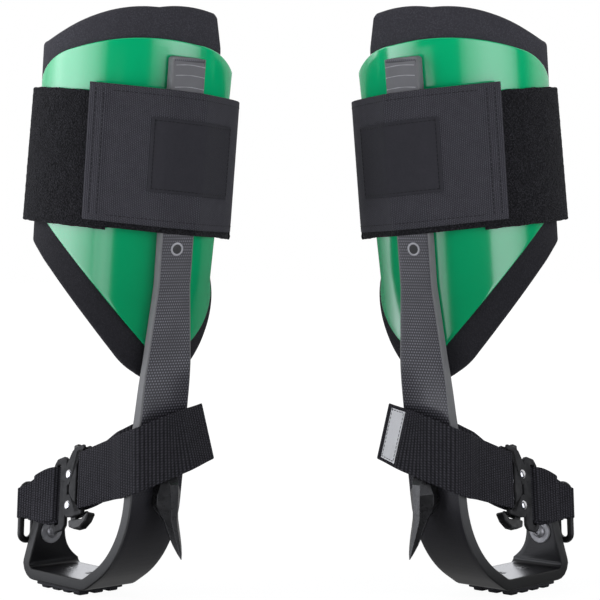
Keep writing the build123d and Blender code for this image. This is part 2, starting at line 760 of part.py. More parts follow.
# Tongue: a nose between the clips and a slotted plate for the anchor webbing
with BuildPart() as buckle_tongue:
    with BuildSketch(buckle):
        with BuildLine():
            Polyline((-tongue_nose, 0), (-tongue_nose, tongue_half_nose - tongue_bevel),
                     (-tongue_nose + tongue_bevel, tongue_half_nose), (tongue_shoulder, tongue_half_nose),
                     (tongue_shoulder, tongue_half_height - shoulder_bevel),
                     (tongue_shoulder + shoulder_bevel, tongue_half_height),
                     (tongue_length - tail_bevel, tongue_half_height),
                     (tongue_length, tongue_half_height - tail_bevel), (tongue_length, 0))
            mirror(about=Plane.XZ)
        make_face()
        with Locations((slot_start, 0)):
            Rectangle(slot_length, 2 * slot_half_height, align=(Align.MIN, Align.CENTER), mode=Mode.SUBTRACT)
    extrude(amount=half_clip, both=True)

# Ring, in a plane along the outside arm, held by the chape's eye
eye_radius = ring_wire + run_gap
eye_outer = eye_radius + chape_thick
ring_out = eye_outer + ring_gap
ring_bar = Plane(
    origin=anchor_outer.origin + Vector(0, ring_y - anchor_y, 0) + arm_out * ring_out + arm_up * eye_rise,
    x_dir=(0, 1, 0),
    z_dir=arm_up,
)
ring_plane = Plane(
    origin=ring_bar.origin + arm_up * (ring_rise - eye_rise) - Vector(0, ring_width / 2, 0),
    x_dir=(0, 1, 0),
    z_dir=arm_out,
)

# The ring's middle line is a rounded rectangle, its long sides along the arm.
# Half of it is swept, then mirrored.
half_w = ring_width / 2
half_h = ring_height / 2
ring_corners = [(half_w, 0), (half_w, half_h), (-half_w, half_h), (-half_w, 0)]
ring_start = Plane(origin=ring_plane.origin + Vector(0, half_w, 0), x_dir=(0, 1, 0), z_dir=arm_up)
ring_half = Plane(origin=ring_plane.origin, z_dir=arm_up)

with BuildPart() as anchor_ring:
    with BuildLine(ring_plane):
        FilletPolyline(*ring_corners, radius=ring_corner)
    with BuildSketch(ring_start):
        Circle(ring_wire)
    sweep()
    mirror(about=ring_half)

with BuildPart() as anchor_chape:
    with BuildSketch(anchor_outer):
        chape_top = eye_rise + eye_length / 2
        with Locations((chape_shift, (chape_top - anchor_washer_radius) / 2)):
            RectangleRounded(chape_width, chape_top + anchor_washer_radius, chape_corner)
    extrude(amount=chape_thick)
    with BuildSketch(ring_bar):
        Circle(eye_outer)
    extrude(amount=eye_length / 2, both=True)
    with BuildSketch(ring_bar):
        Circle(eye_radius)
    extrude(amount=2 * eye_length, both=True, mode=Mode.SUBTRACT)
    with Locations(anchor_outer):
        Cylinder(anchor_bolt_radius + bolt_gap, 4 * bar_thick, mode=Mode.SUBTRACT)

with BuildPart() as anchor_washer:
    with Locations(anchor_inner):
        Cylinder(anchor_washer_radius, anchor_washer_thick, align=bottom)
        Cylinder(anchor_bolt_radius + bolt_gap, 4 * bar_thick, mode=Mode.SUBTRACT)

with BuildPart() as anchor_bolt:
    with Locations(anchor_inner.offset(anchor_washer_thick)):
        shaft = anchor_washer_thick + bar_thick + chape_thick + anchor_nut_thick
        Cylinder(anchor_bolt_radius, shaft, align=top)
        Cone(anchor_head_radius, anchor_bolt_radius, anchor_head_thick, align=bottom)

with BuildPart() as anchor_nut:
    with BuildSketch(anchor_outer.offset(chape_thick)):
        RegularPolygon(anchor_nut_radius, 6)
        Circle(anchor_bolt_radius + bolt_gap, mode=Mode.SUBTRACT)
    extrude(amount=anchor_nut_thick)

# Anchor webbing: from the tongue's slot to the ring's toe-side bar, drawn in towards the ring
outer_bar = ring_plane.origin - Vector(0, ring_width / 2, 0)
with BuildPart() as anchor_webbing:
    with BuildSketch(Plane(origin=buckle.origin + buckle.x_dir * (slot_start + 2 * seat_gap),
                           x_dir=buckle.y_dir, z_dir=buckle.x_dir)):
        slot_room = slot_half_height - webbing_side_room
        Rectangle(2 * slot_room, clip_thick + webbing_layers * webbing_thick)
    with BuildSketch(Plane(origin=outer_bar + arm_up * ring_webbing_rise + buckle.x_dir * (2 * ring_wire),
                           x_dir=strap_across, z_dir=buckle.x_dir)):
        Rectangle(ring_webbing, 2 * ring_wire + ring_layers * webbing_thick)
    loft()
    with BuildLine(ring_plane):
        FilletPolyline(*ring_corners, radius=ring_corner)
    with BuildSketch(ring_start):
        Circle(ring_wire + seat_gap)
    room = sweep(mode=Mode.PRIVATE)
    add(room, mode=Mode.SUBTRACT)
    mirror(room, about=ring_half, mode=Mode.SUBTRACT)
    # the tongue's outer bar
    with BuildSketch(buckle):
        with Locations((slot_start + slot_length - seat_gap, 0)):
            bar_room = tongue_length - slot_start - slot_length + 2 * seat_gap
            Rectangle(bar_room, 4 * slot_half_height, align=(Align.MIN, Align.CENTER))
    extrude(amount=half_clip + seat_gap, both=True, mode=Mode.SUBTRACT)

# Tag, on the heel part of the strap's inner-leg side
fold_line = Vector(fold_tip[0] - fold_near[0], fold_tip[1] - fold_near[1], 0).normalized()
tag_out = Vector(fold_line.Y, -fold_line.X, 0)
tag_along = fold_line + Vector(0, 0, tan(radians(strap_roll)))
tag_seat = webbing_thick + 2 * seat_gap
tag_middle = (Vector(*fold_near, 0) + Vector(*fold_tip, 0)) / 2 + tag_out * tag_seat
tag_rise = buckle_z + strap_rise + (tag_middle.X - buckle_x) * tan(radians(strap_fall))
tag_rise = tag_rise + (tag_middle.Y - buckle_y) * tan(radians(strap_roll))
with BuildPart() as strap_tag:
    tag_origin = tag_middle + Vector(0, 0, tag_rise + tag_lift)
    with BuildSketch(Plane(origin=tag_origin, x_dir=tag_along, z_dir=tag_out)):
        RectangleRounded(tag_width, tag_height, tag_corner)
    extrude(amount=tag_thick)

# The right climber is turned toes out, and the left one mirrors it. Only the left one has a tag.
pieces = {
    "shank": shank,
    "hole_eyelets": hole_eyelets,
    "stirrup_tread": stirrup_tread,
    "tread_screws": tread_screws,
    "gaff": gaff,
    "gaff_bolts": gaff_bolts,
    "gaff_nuts": gaff_nuts,
    "cuff_bolts": cuff_bolts,
    "cuff_nut_plate": cuff_nut_plate,
    "cuff_shell": cuff_shell,
    "cuff_pad": cuff_pad,
    "calf_strap": calf_strap,
    "strap_flap": strap_flap,
    "flap_patch": flap_patch,
    "ankle_strap": ankle_strap,
    "buckle_webbing_bar": buckle_webbing_bar,
    "buckle_base_plate": buckle_base_plate,
    "buckle_cover_plate": buckle_cover_plate,
    "buckle_rivets": buckle_rivets,
    "upper_release_clip": upper_release_clip,
    "lower_release_clip": lower_release_clip,
    "clip_spring": clip_spring,
    "buckle_tongue": buckle_tongue,
    "anchor_webbing": anchor_webbing,
    "anchor_ring": anchor_ring,
    "anchor_chape": anchor_chape,
    "anchor_washer": anchor_washer,
    "anchor_bolt": anchor_bolt,
    "anchor_nut": anchor_nut,
    "strap_tag": strap_tag,
}
pair_plane = Plane.YZ.offset(pair_half_gap)
for name, piece in pieces.items():
    with BuildPart() as right:
        add(piece.part, rotation=(0, 0, -toe_out))
    if name != "strap_tag":
        right.part.label = f"right_{name}"
        export_step(right.part, f"parts/right_{name}.step")
    with BuildPart() as left:
        mirror(right.part, about=pair_plane)
    left.part.label = f"left_{name}"
    export_step(left.part, f"parts/left_{name}.step")
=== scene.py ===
import json
import math
import bpy
import numpy as np
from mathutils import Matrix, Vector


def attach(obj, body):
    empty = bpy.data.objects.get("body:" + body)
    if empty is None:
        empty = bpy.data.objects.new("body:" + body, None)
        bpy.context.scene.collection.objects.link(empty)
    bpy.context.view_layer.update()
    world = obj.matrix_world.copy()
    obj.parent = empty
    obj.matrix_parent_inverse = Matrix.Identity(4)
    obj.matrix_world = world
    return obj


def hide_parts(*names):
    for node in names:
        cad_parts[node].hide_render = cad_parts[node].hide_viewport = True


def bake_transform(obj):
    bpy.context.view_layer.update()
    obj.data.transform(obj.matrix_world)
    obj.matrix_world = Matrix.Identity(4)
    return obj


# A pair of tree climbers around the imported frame. Shapes are in millimetres, in the right climber's own axes:
# x to the inside of the leg, y to the heel, z up from the foot plate. The left climber mirrors them.
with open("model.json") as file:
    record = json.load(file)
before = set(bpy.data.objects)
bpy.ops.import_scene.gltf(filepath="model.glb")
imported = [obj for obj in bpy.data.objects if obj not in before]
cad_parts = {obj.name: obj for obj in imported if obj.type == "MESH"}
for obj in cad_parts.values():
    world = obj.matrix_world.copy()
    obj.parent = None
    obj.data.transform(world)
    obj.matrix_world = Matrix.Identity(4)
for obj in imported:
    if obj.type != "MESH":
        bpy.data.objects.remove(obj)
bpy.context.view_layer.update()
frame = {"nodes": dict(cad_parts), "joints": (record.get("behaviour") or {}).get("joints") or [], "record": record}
nodes = frame["nodes"]
jointNamed = {joint["name"]: joint for joint in frame["joints"]}
mountNamed = {mount["name"]: mount for mount in frame["record"]["mounts"]}
print("frame loaded with", len(nodes), "nodes")

mm = 0.001
pairWidth = mountNamed["left_foot_rest"]["pos_m"][0] / mm
slideAxis = np.array(jointNamed["right_tongue_release"]["axis"])
toeTurn = math.atan2(-slideAxis[1], -slideAxis[0])
turnCos, turnSin = math.cos(toeTurn), math.sin(toeTurn)
rowAxes = np.eye(3)
inward, heelward, upward = rowAxes
sides = ("right", "left")


def toLocal(vector):
    # a direction or point of the row frame, turned back into the right climber's axes
    x, y, z = vector
    return np.array((x * turnCos + y * turnSin, y * turnCos - x * turnSin, z))


def toRow(points, side):
    # local millimetres to row-frame metres: turned toes out, then mirrored for the left climber
    x = points[:, 0] * turnCos - points[:, 1] * turnSin
    y = points[:, 0] * turnSin + points[:, 1] * turnCos
    if side == "left":
        x = pairWidth - x
    return np.stack((x, y, points[:, 2]), 1) * mm


def unit(vectors):
    return vectors / np.maximum(np.linalg.norm(vectors, axis=-1, keepdims=True), 1e-9)


def smoothStep(low, high, value):
    t = np.clip((value - low) / (high - low), 0, 1)
    return t * t * (3 - 2 * t)


def turned(degreesOf):
    return math.cos(math.radians(degreesOf)), math.sin(math.radians(degreesOf))


def jointAxis(name):
    return toLocal(jointNamed[f"right_{name}"]["axis"])


def jointPlace(name):
    return toLocal(jointNamed[f"right_{name}"]["pos_m"]) / mm


def makePair(label, *makers):
    # the pieces of the right climber, then those of the left one
    for side in sides:
        for maker in makers:
            maker(side)
    print(label, "made")


# Lines and outlines

def roundCorners(points, radius, steps=7, closed=False):
    # every corner becomes an arc tangent to its two sides, swept evenly from one side to the other
    p = np.asarray(points, float)
    r = np.broadcast_to(np.asarray(radius, float), len(p)).copy()[:, None]
    back = unit(np.roll(p, 1, 0) - p)
    on = unit(np.roll(p, -1, 0) - p)
    half = np.arccos(np.clip((back * on).sum(1, keepdims=True), -1, 1)) / 2
    half = np.minimum(half, math.pi / 2 - 1e-4)
    centre = p + unit(back + on) * r / np.sin(half)
    first = p + back * r / np.tan(half) - centre
    last = p + on * r / np.tan(half) - centre
    sweep = (math.pi - 2 * half)[:, :, None]
    t = np.linspace(0, 1, steps)[None, :, None]
    arcs = (np.sin((1 - t) * sweep) * first[:, None] + np.sin(t * sweep) * last[:, None]) / np.sin(sweep)
    arcs = arcs + centre[:, None]
    if closed:
        return arcs.reshape(-1, p.shape[1])
    return np.concatenate((p[:1], arcs[1:-1].reshape(-1, p.shape[1]), p[-1:]))


def lengthAlong(points):
    return np.concatenate(([0], np.cumsum(np.linalg.norm(np.diff(points, axis=0), axis=1))))


def pointsAt(line, places, values=None):
    # a polyline's points, or other values given along it, at lengths along it
    along = lengthAlong(line)
    return np.stack([np.interp(places, along, column) for column in (line if values is None else values).T], 1)


def evenly(points, count, closed=False):
    if closed:
        points = np.concatenate((points, points[:1]))
    total = lengthAlong(points)[-1]
    return pointsAt(points, np.linspace(0, total, count, endpoint=not closed))


def arcThrough(*points):
    # the arc of a circle from the first point through the second to the third, in complex numbers
    a, b, c = (complex(*point) for point in points)
    w = (c - a) / (b - a)
    centre = a + (b - a) * (w - abs(w) ** 2) / (2j * w.imag)
    start, middle, end = (np.angle(point - centre) for point in (a, b, c))
    sweep = (end - start) % (2 * math.pi)
    if (middle - start) % (2 * math.pi) > sweep:
        sweep -= 2 * math.pi
    arc = centre + abs(a - centre) * np.exp(1j * (start + sweep * np.linspace(0, 1, 24)))
    return np.stack((arc.real, arc.imag), 1)


def outlineOf(runs):
    # three points make an arc, any other number is taken as it is
    return np.concatenate([arcThrough(*run) if len(run) == 3 else run for run in runs])


def aheadOf(line, closed=True):
    # unit directions of travel along a line
    return unit(np.roll(line, -1, 0) - np.roll(line, 1, 0) if closed else np.gradient(line, axis=0))


def normalsOf(line, closed=True):
    # unit normals of a flat line, to the right of its direction of travel
    return aheadOf(line, closed)[:, ::-1] * (1, -1)


def signedArea(outline):
    x, y = outline.T
    return 0.5 * np.sum(x * np.roll(y, -1) - y * np.roll(x, -1))


def outwardOf(outline):
    # unit normals that point out of a closed outline
    return normalsOf(outline) * np.sign(signedArea(outline))


def roundBox(width, height, radius, flats, steps=4):
    # closed profile of a rectangle with round corners, its long faces cut into a few flats
    w, h = width / 2 - radius, height / 2 - radius
    turn = np.linspace(0, math.pi / 2, steps) + np.arange(4)[:, None] * math.pi / 2
    corners = np.array(((w, h), (-w, h), (-w, -h), (w, -h)))[:, None]
    corners = corners + radius * np.stack((np.cos(turn), np.sin(turn)), -1)
    top, bottom = (np.linspace(corners[k, -1], corners[k + 1, 0], flats + 2)[1:-1] for k in (0, 2))
    return np.concatenate((corners[0], top, corners[1], corners[2], bottom, corners[3]))


def boxOutline(length, width, corner, steps):
    l, w = length / 2, width / 2
    return roundCorners([(l, -w), (l, w), (-l, w), (-l, -w)], corner, steps=steps, closed=True)


# Shells: points, quads, end caps, a UV for each quad's corners, and a material if it isn't the first

def gridShell(points, closeU=False, uv=None):
    # points[i, j] on a grid, joined by quads that wrap round along j; along i they wrap too, or end in caps
    n, m = points.shape[:2]
    a, b = np.meshgrid(np.arange(n if closeU else n - 1), np.arange(m), indexing="ij")
    nextA, nextB = (a + 1) % n, (b + 1) % m
    quads = np.stack((a * m + b, nextA * m + b, nextA * m + nextB, a * m + nextB), -1).reshape(-1, 4)
    ends = [] if closeU else [np.arange(m), (n - 1) * m + np.arange(m)[::-1]]
    if uv is not None:
        uv = np.stack((uv[a, b], uv[a + 1, b], uv[a + 1, b + 1], uv[a, b + 1]), 2).reshape(-1, 4, 2)
    return {"points": points.reshape(-1, 3), "quads": quads, "ends": ends, "uv": uv}


def weaveUv(along, across):
    # centimetres along and across a strip, with the first column again where its profile closes
    along, across = np.broadcast_arrays(along[:, None], across)
    return np.stack((along, across), -1)[:, [*range(across.shape[1]), 0]] / 10


def repeatShell(base, origins, axes):
    # copies of one small shell, each at its origin and turned by its three axes
    points = origins[:, None] + np.einsum("pk,nkd->npd", base["points"], axes)
    shifts = np.arange(len(origins)) * len(base["points"])
    return {"points": points.reshape(-1, 3), "quads": (base["quads"] + shifts[:, None, None]).reshape(-1, 4),
            "ends": [end + shift for shift in shifts for end in base["ends"]], "uv": None}


def plateShell(outline, origin, axes, low, high, bevel, hole=None):
    # a flat outline between two heights with bevelled rims; a hole of as many points makes it a frame
    outX, outY, outZ = axes
    inset = outline - outwardOf(outline) * bevel
    rings = [(inset, low), (outline, low + bevel), (outline, high - bevel), (inset, high)]
    if hole is not None:
        wider = hole + outwardOf(hole) * bevel
        rings += [(wider, high), (hole, high - bevel), (hole, low + bevel), (wider, low)]
    points = np.stack([origin + ring[:, :1] * outX + ring[:, 1:] * outY + z * outZ for ring, z in rings])
    return gridShell(points, closeU=hole is not None)


def latheShell(profile, origin, axes, count, closed=False):
    # (radius, height) points carried round the third axis
    outX, outY, outZ = axes
    angle = np.linspace(0, 2 * math.pi, count, endpoint=False)
    ring = np.cos(angle)[:, None] * outX + np.sin(angle)[:, None] * outY
    profile = np.asarray(profile, float)
    return gridShell(origin + profile[:, :1, None] * ring[None] + profile[:, 1:, None] * outZ, closed)


def tubeShell(path, radius, first, count, closed=False):
    # a circle carried along a path: its first axis is given, its second is square to that and to the path
    second = np.cross(aheadOf(path, closed), first)
    angle = np.linspace(0, 2 * math.pi, count, endpoint=False)[None, :, None]
    circle = np.cos(angle) * first[:, None] + np.sin(angle) * second[:, None]
    return gridShell(path[:, None] + radius * circle, closed)


thread = {"pitch": 3.0, "length": 2.3, "width": 0.55, "height": 0.5}


def beadShell():
    # an egg-shaped stitch one unit long, wide and high, lying along its first axis
    t = np.linspace(0.12, math.pi - 0.12, 5)[:, None]
    a = np.linspace(0, 2 * math.pi, 6, endpoint=False)[None]
    ring = np.sin(t) ** 0.6
    return gridShell(np.stack(np.broadcast_arrays(-np.cos(t), ring * np.cos(a), ring * np.sin(a)), -1) / 2)


def stitchShell(path, normal):
    # a row of stitches along a path on a surface: beads lying on it, spaced by the thread's pitch
    places = np.arange(thread["pitch"] / 2, lengthAlong(path)[-1], thread["pitch"])
    ahead = unit(pointsAt(path, places + 0.2) - pointsAt(path, places - 0.2))
    out = unit(pointsAt(path, places, unit(np.broadcast_to(normal, path.shape))))
    across = unit(np.cross(out, ahead))
    axes = np.stack((ahead * thread["length"], across * thread["width"], out * thread["height"]), 1)
    return {**repeatShell(beadShell(), pointsAt(path, places), axes), "material": 1}


def volumeOf(points, quads, ends):
    # a sixth of the triple products of all triangles
    fans = [np.stack((np.full(len(end) - 2, end[0]), end[1:-1], end[2:]), 1) for end in ends]
    a, b, c = points[np.concatenate((quads[:, :3], quads[:, [0, 2, 3]], *fans))].swapaxes(0, 1)
    return np.sum(a * np.cross(b, c)) / 6


def addObject(name, data):
    item = bpy.data.objects.new(name, data)
    bpy.context.scene.collection.objects.link(item)
    return item


made = []


def addPiece(name, side, shells, body, materials, replaces, sharp=38):
    # joins closed shells into one mesh in the row frame, each with its faces turned outwards
    points, faces, corners, kinds, start = [], [], [], [], 0
    for shell in shells:
        place = toRow(shell["points"], side)
        quads, ends, uv = shell["quads"], shell["ends"], shell["uv"]
        if uv is None:
            uv = np.zeros((len(quads), 4, 2))
        if volumeOf(place - place.mean(0), quads, ends) < 0:
            quads, ends, uv = quads[:, ::-1], [end[::-1] for end in ends], uv[:, ::-1]
        points.append(place)
        faces += (quads + start).tolist() + [(end + start).tolist() for end in ends]
        corners += [uv.reshape(-1, 2)] + [np.zeros((len(end), 2)) for end in ends]
        kind = np.broadcast_to(shell.get("material", 0), len(quads))
        kinds += [kind, np.full(len(ends), kind[0])]
        start += len(place)
    mesh = bpy.data.meshes.new(f"{side}_{name}")
    mesh.from_pydata(np.concatenate(points).tolist(), [], faces)
    layer = mesh.uv_layers.new(name="weave")
    layer.data.foreach_set("uv", np.concatenate(corners).astype(np.float32).ravel())
    for material in materials:
        mesh.materials.append(material)
    mesh.polygons.foreach_set("material_index", np.concatenate(kinds).astype(np.int32))
    mesh.polygons.foreach_set("use_smooth", np.ones(len(faces), bool))
    mesh.set_sharp_from_angle(angle=math.radians(sharp))
    mesh.validate()
    piece = addObject(f"{side}_{name}", mesh)
    if body:
        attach(piece, f"{side}_{body}")
    if replaces:
        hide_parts(*[f"{side}_{node}" for node in replaces])
    made.append(piece)
    return piece


# Materials

def setInputs(tree, node, inputs):
    # each input is linked to a socket or set to a value; i and a number picks it by its place
    for key, value in inputs.items():
        socket = node.inputs[int(key[1:]) if key[1:].isdigit() else key.replace("_", " ")]
        if isinstance(value, bpy.types.NodeSocket):
            tree.links.new(value, socket)
        else:
            socket.default_value = value


def addNode(tree, kind, settings=None, **inputs):
    # a shader node with its settings and inputs; its outputs come back
    node = tree.nodes.new("ShaderNode" + kind)
    for key, value in (settings or {}).items():
        setattr(node, key, value)
    setInputs(tree, node, inputs)
    return node.outputs


def calc(tree, operation, a, b=0.0, c=0.0):
    return addNode(tree, "Math", {"operation": operation}, i0=a, i1=b, i2=c)[0]


def ramp(tree, value, low, high, kind="LINEAR", **ends):
    # rises from 0 to 1, or between other ends, while the value goes from low to high
    return addNode(tree, "MapRange", {"interpolation_type": kind}, Value=value, From_Min=low, From_Max=high, **ends)[0]


def noise(tree, space, scale, detail):
    return addNode(tree, "TexNoise", Vector=space, Scale=scale, Detail=detail)[0]


def newGroup(name, outputs, **values):
    # a group with a Vector and some values as inputs, and with heights or masks as outputs
    group = bpy.data.node_groups.new(name, "ShaderNodeTree")
    group.interface.new_socket("Vector", in_out="INPUT", socket_type="NodeSocketVector")
    for label, value in values.items():
        group.interface.new_socket(label, in_out="INPUT", socket_type="NodeSocketFloat").default_value = value
    for label in outputs:
        group.interface.new_socket(label, in_out="OUTPUT", socket_type="NodeSocketFloat")
    return group, group.nodes.new("NodeGroupInput").outputs, group.nodes.new("NodeGroupOutput").inputs


def makeRibGroup():
    # ribs across a strip: each rib is a half sine along U, cut along V into dashes that step by half a dash a rib
    tree, given, out = newGroup("ribWeave", ["Height"], Rib=0.16, Dash=0.2, Cut=0.5)

    def halfSine(value):
        return calc(tree, "SINE", calc(tree, "MULTIPLY", calc(tree, "FRACT", value), math.pi))

    split = addNode(tree, "SeparateXYZ", Vector=given["Vector"])
    along = calc(tree, "DIVIDE", split["X"], given["Rib"])
    odd = calc(tree, "MULTIPLY", calc(tree, "PINGPONG", calc(tree, "FLOOR", along), 1.0), 0.5)
    dash = halfSine(calc(tree, "ADD", calc(tree, "DIVIDE", split["Y"], given["Dash"]), odd))
    share = calc(tree, "MULTIPLY_ADD", dash, given["Cut"], calc(tree, "SUBTRACT", 1.0, given["Cut"]))
    tree.links.new(calc(tree, "MULTIPLY", halfSine(along), share), out["Height"])
    return tree


def makeGrainGroup():
    # blotches and fine grain: two noises of Object coordinates, one five times finer than the other
    tree, given, out = newGroup("grain", ["Blotch", "Grain"], Scale=60.0)
    for label, finer, detail in (("Blotch", 1.0, 3.0), ("Grain", 5.0, 2.0)):
        scale = calc(tree, "MULTIPLY", given["Scale"], finer)
        tree.links.new(noise(tree, given["Vector"], scale, detail), out[label])
    return tree


def makeWearGroup():
    # rubbed edges: how far the surface bulges, sharpened, and broken up by noise
    tree, given, out = newGroup("edgeWear", ["Mask"], Amount=0.5)
    edge = ramp(tree, addNode(tree, "NewGeometry")["Pointiness"], 0.52, 0.6)
    spots = ramp(tree, noise(tree, given["Vector"], 180.0, 2.0), 0.4, 0.65)
    tree.links.new(calc(tree, "MULTIPLY", calc(tree, "MULTIPLY", edge, spots), given["Amount"]), out["Mask"])
    return tree


ribGroup, grainGroup, wearGroup = makeRibGroup(), makeGrainGroup(), makeWearGroup()


def newMaterial(name):
    material = bpy.data.materials.new(name)
    material.use_nodes = True
    return material, material.node_tree


def finishMaterial(material, color, height, strength, depth, **values):
    # the shader gets its colour, a bump from the height, and its other inputs
    tree = material.node_tree
    bump = addNode(tree, "Bump", Height=height, Strength=strength, Distance=depth)[0]
    setInputs(tree, tree.nodes["Principled BSDF"], {"Base_Color": color, "Normal": bump, **values})
    return material


def objectSpace(tree):
    return addNode(tree, "TexCoord")["Object"]


def heightShare(tree, low, high):
    # rises from 0 to 1 between two heights in the object
    return ramp(tree, addNode(tree, "SeparateXYZ", Vector=objectSpace(tree))["Z"], low, high)


def weaveSpace(tree):
    return addNode(tree, "UVMap", {"uv_map": "weave"})["UV"]


def weaveRibs(tree, rib, dash, cut):
    return addNode(tree, "Group", {"node_tree": ribGroup}, Vector=weaveSpace(tree), Rib=rib, Dash=dash, Cut=cut)[0]


def grainOf(tree, scale):
    # its two outputs: blotches and fine grain
    return addNode(tree, "Group", {"node_tree": grainGroup}, Vector=objectSpace(tree), Scale=scale)


def mixColors(tree, share, first, second):
    return addNode(tree, "Mix", {"data_type": "RGBA"}, i0=share, i6=first, i7=second)[2]


def grey(value, tint=1.12):
    return (value, value * (1.24 - tint * 0.24), value * tint, 1)


def makeCloth(name, dark, light, rib, dash, cut, depth, sheen, tint=1.12):
    # woven cloth: ribs lighten the threads that stand up, and grain breaks them up
    material, tree = newMaterial(name)
    ribs = weaveRibs(tree, rib, dash, cut)
    blotch, grain = grainOf(tree, 160.0)
    lit = calc(tree, "MULTIPLY", calc(tree, "POWER", ribs, 2.0), calc(tree, "ADD", grain, 0.35))
    share = calc(tree, "ADD", lit, calc(tree, "MULTIPLY", blotch, 0.25))
    return finishMaterial(material, mixColors(tree, share, grey(dark, tint), grey(light, tint)), ribs, 0.9, depth,
                          Roughness=0.9, Specular_IOR_Level=0.1, Sheen_Weight=sheen)


def makeFuzz(name, dark, light, depth, top):
    # napped cloth: loops as small cells, deeper where the blotches are, and painted lighter by the factor top towards
    # the top of the leg as a painted highlight
    material, tree = newMaterial(name)
    scale = 900.0
    cells = addNode(tree, "TexVoronoi", Vector=objectSpace(tree), Scale=scale, Randomness=1.0)["Distance"]
    blotch = grainOf(tree, scale / 8)[0]
    tops = calc(tree, "SUBTRACT", 1.0, cells)
    share = calc(tree, "MULTIPLY", calc(tree, "POWER", tops, 3.0), calc(tree, "ADD", blotch, 0.2))
    # painted highlight: above this height both colours are made top times lighter
    rise = heightShare(tree, 0.24, 0.38)
    ground, nap = (mixColors(tree, rise, grey(shade), grey(shade * top)) for shade in (dark, light))
    height = calc(tree, "ADD", tops, calc(tree, "MULTIPLY", blotch, 2.0))
    return finishMaterial(material, mixColors(tree, share, ground, nap), height, 0.8, depth,
                          Roughness=0.95, Specular_IOR_Level=0.1, Sheen_Weight=0.04)


def makeMetal(name, dark, light, roughness, metallic, wear, worn, specular=0.5):
    # blackened or bare metal: blotchy finish, rubbed brighter along its edges
    material, tree = newMaterial(name)
    blotch, grain = grainOf(tree, 90.0)
    mask = addNode(tree, "Group", {"node_tree": wearGroup}, Vector=objectSpace(tree), Amount=wear)[0]
    finish = mixColors(tree, blotch, grey(dark, 1.03), grey(light, 1.03))
    spread = calc(tree, "MULTIPLY_ADD", grain, 0.2, roughness - 0.1)
    return finishMaterial(material, mixColors(tree, mask, finish, grey(worn, 1.0)), grain, 0.15, 0.0002,
                          Roughness=spread, Metallic=metallic, Specular_IOR_Level=specular)


def makeCarbonFace(name, low, high, lit):
    # clear-coated weave: rows of lit threads on a dark ground, the ground painted darker towards the foot as painted
    # shade
    material, tree = newMaterial(name)
    threads = weaveRibs(tree, 0.2, 0.27, 0.92)
    blotch = grainOf(tree, 45.0)[0]
    dots = calc(tree, "MULTIPLY", ramp(tree, threads, 0.45, 0.95), calc(tree, "MULTIPLY_ADD", blotch, 1.2, 0.1))
    dots = calc(tree, "MULTIPLY", dots, heightShare(tree, 0.06, 0.12))
    # painted shade: the ground goes from the darker low colour at the foot to the high colour further up
    ground = mixColors(tree, heightShare(tree, 0.02, 0.1), grey(low), grey(high))
    return finishMaterial(material, mixColors(tree, dots, ground, grey(lit)), threads, 0.25, 0.0001,
                          Roughness=0.34, Specular_IOR_Level=0.2, Coat_Weight=0.14, Coat_Roughness=0.18)


def makeCarbonEdge():
    # cut edge of the laminate: satin grey with fine lines along the layers, painted near black towards the foot as
    # painted shade
    material, tree = newMaterial("carbonEdge")
    stretch = addNode(tree, "Mapping", Vector=weaveSpace(tree), Scale=(1.5, 28.0, 1.0))[0]
    lines = noise(tree, stretch, 1.0, 3.0)
    cut = mixColors(tree, lines, grey(0.09, 1.0), grey(0.18, 1.0))
    # painted shade: near black at the foot, rising to the satin grey by 0.14 m up
    return finishMaterial(material, mixColors(tree, heightShare(tree, 0.0, 0.14), grey(0.012, 1.0), cut), lines, 0.2,
                          0.0001, Roughness=0.5, Specular_IOR_Level=0.2)


def makeGreenPaint():
    # glossy green coat, painted darker towards the foot as painted shade, with random blotches of tone and a trace of
    # orange peel
    material, tree = newMaterial("greenPaint")
    blotch, grain = grainOf(tree, 14.0)
    # painted shade: the height ramp darkens the green towards the foot, while the blotches vary its tone at random
    blotchAndPaintedShade = calc(tree, "MULTIPLY_ADD", blotch, 0.12, heightShare(tree, 0.2, 0.4))
    green = mixColors(tree, blotchAndPaintedShade, (0.0, 0.25, 0.09, 1), (0.0, 0.42, 0.155, 1))
    return finishMaterial(material, green, grain, 0.03, 0.0004, Roughness=0.4, Specular_IOR_Level=0.0,
                          Coat_Weight=1.0, Coat_Roughness=0.15, Coat_IOR=1.75)


def makeRubber():
    material, tree = newMaterial("rubberTread")
    blotch, grain = grainOf(tree, 220.0)
    return finishMaterial(material, mixColors(tree, blotch, grey(0.008), grey(0.022)), grain, 0.5, 0.0004,
                          Roughness=0.75, Specular_IOR_Level=0.3)


carbonFace, carbonEdge = makeCarbonFace("carbonFace", 0.014, 0.021, 0.16), makeCarbonEdge()
# a darker copy of the carbon face for the bar's inner side, painted shade on the side that faces the boot
carbonBootPaintedShade = makeCarbonFace("carbonBootPaintedShade", 0.007, 0.014, 0.1)
greenPaint, rubberTread = makeGreenPaint(), makeRubber()
webbing = makeCloth("webbing", 0.006, 0.044, 0.27, 0.18, 0.6, 0.0006, 0.0)
flapCloth = makeCloth("flapCloth", 0.021, 0.073, 0.13, 0.16, 0.6, 0.0003, 0.03)
patchCloth = makeCloth("patchCloth", 0.022, 0.042, 0.05, 0.05, 0.5, 0.0001, 0.02)
tagCloth = makeCloth("tagCloth", 0.5, 0.68, 0.05, 0.06, 0.5, 0.0001, 0.0, tint=1.0)
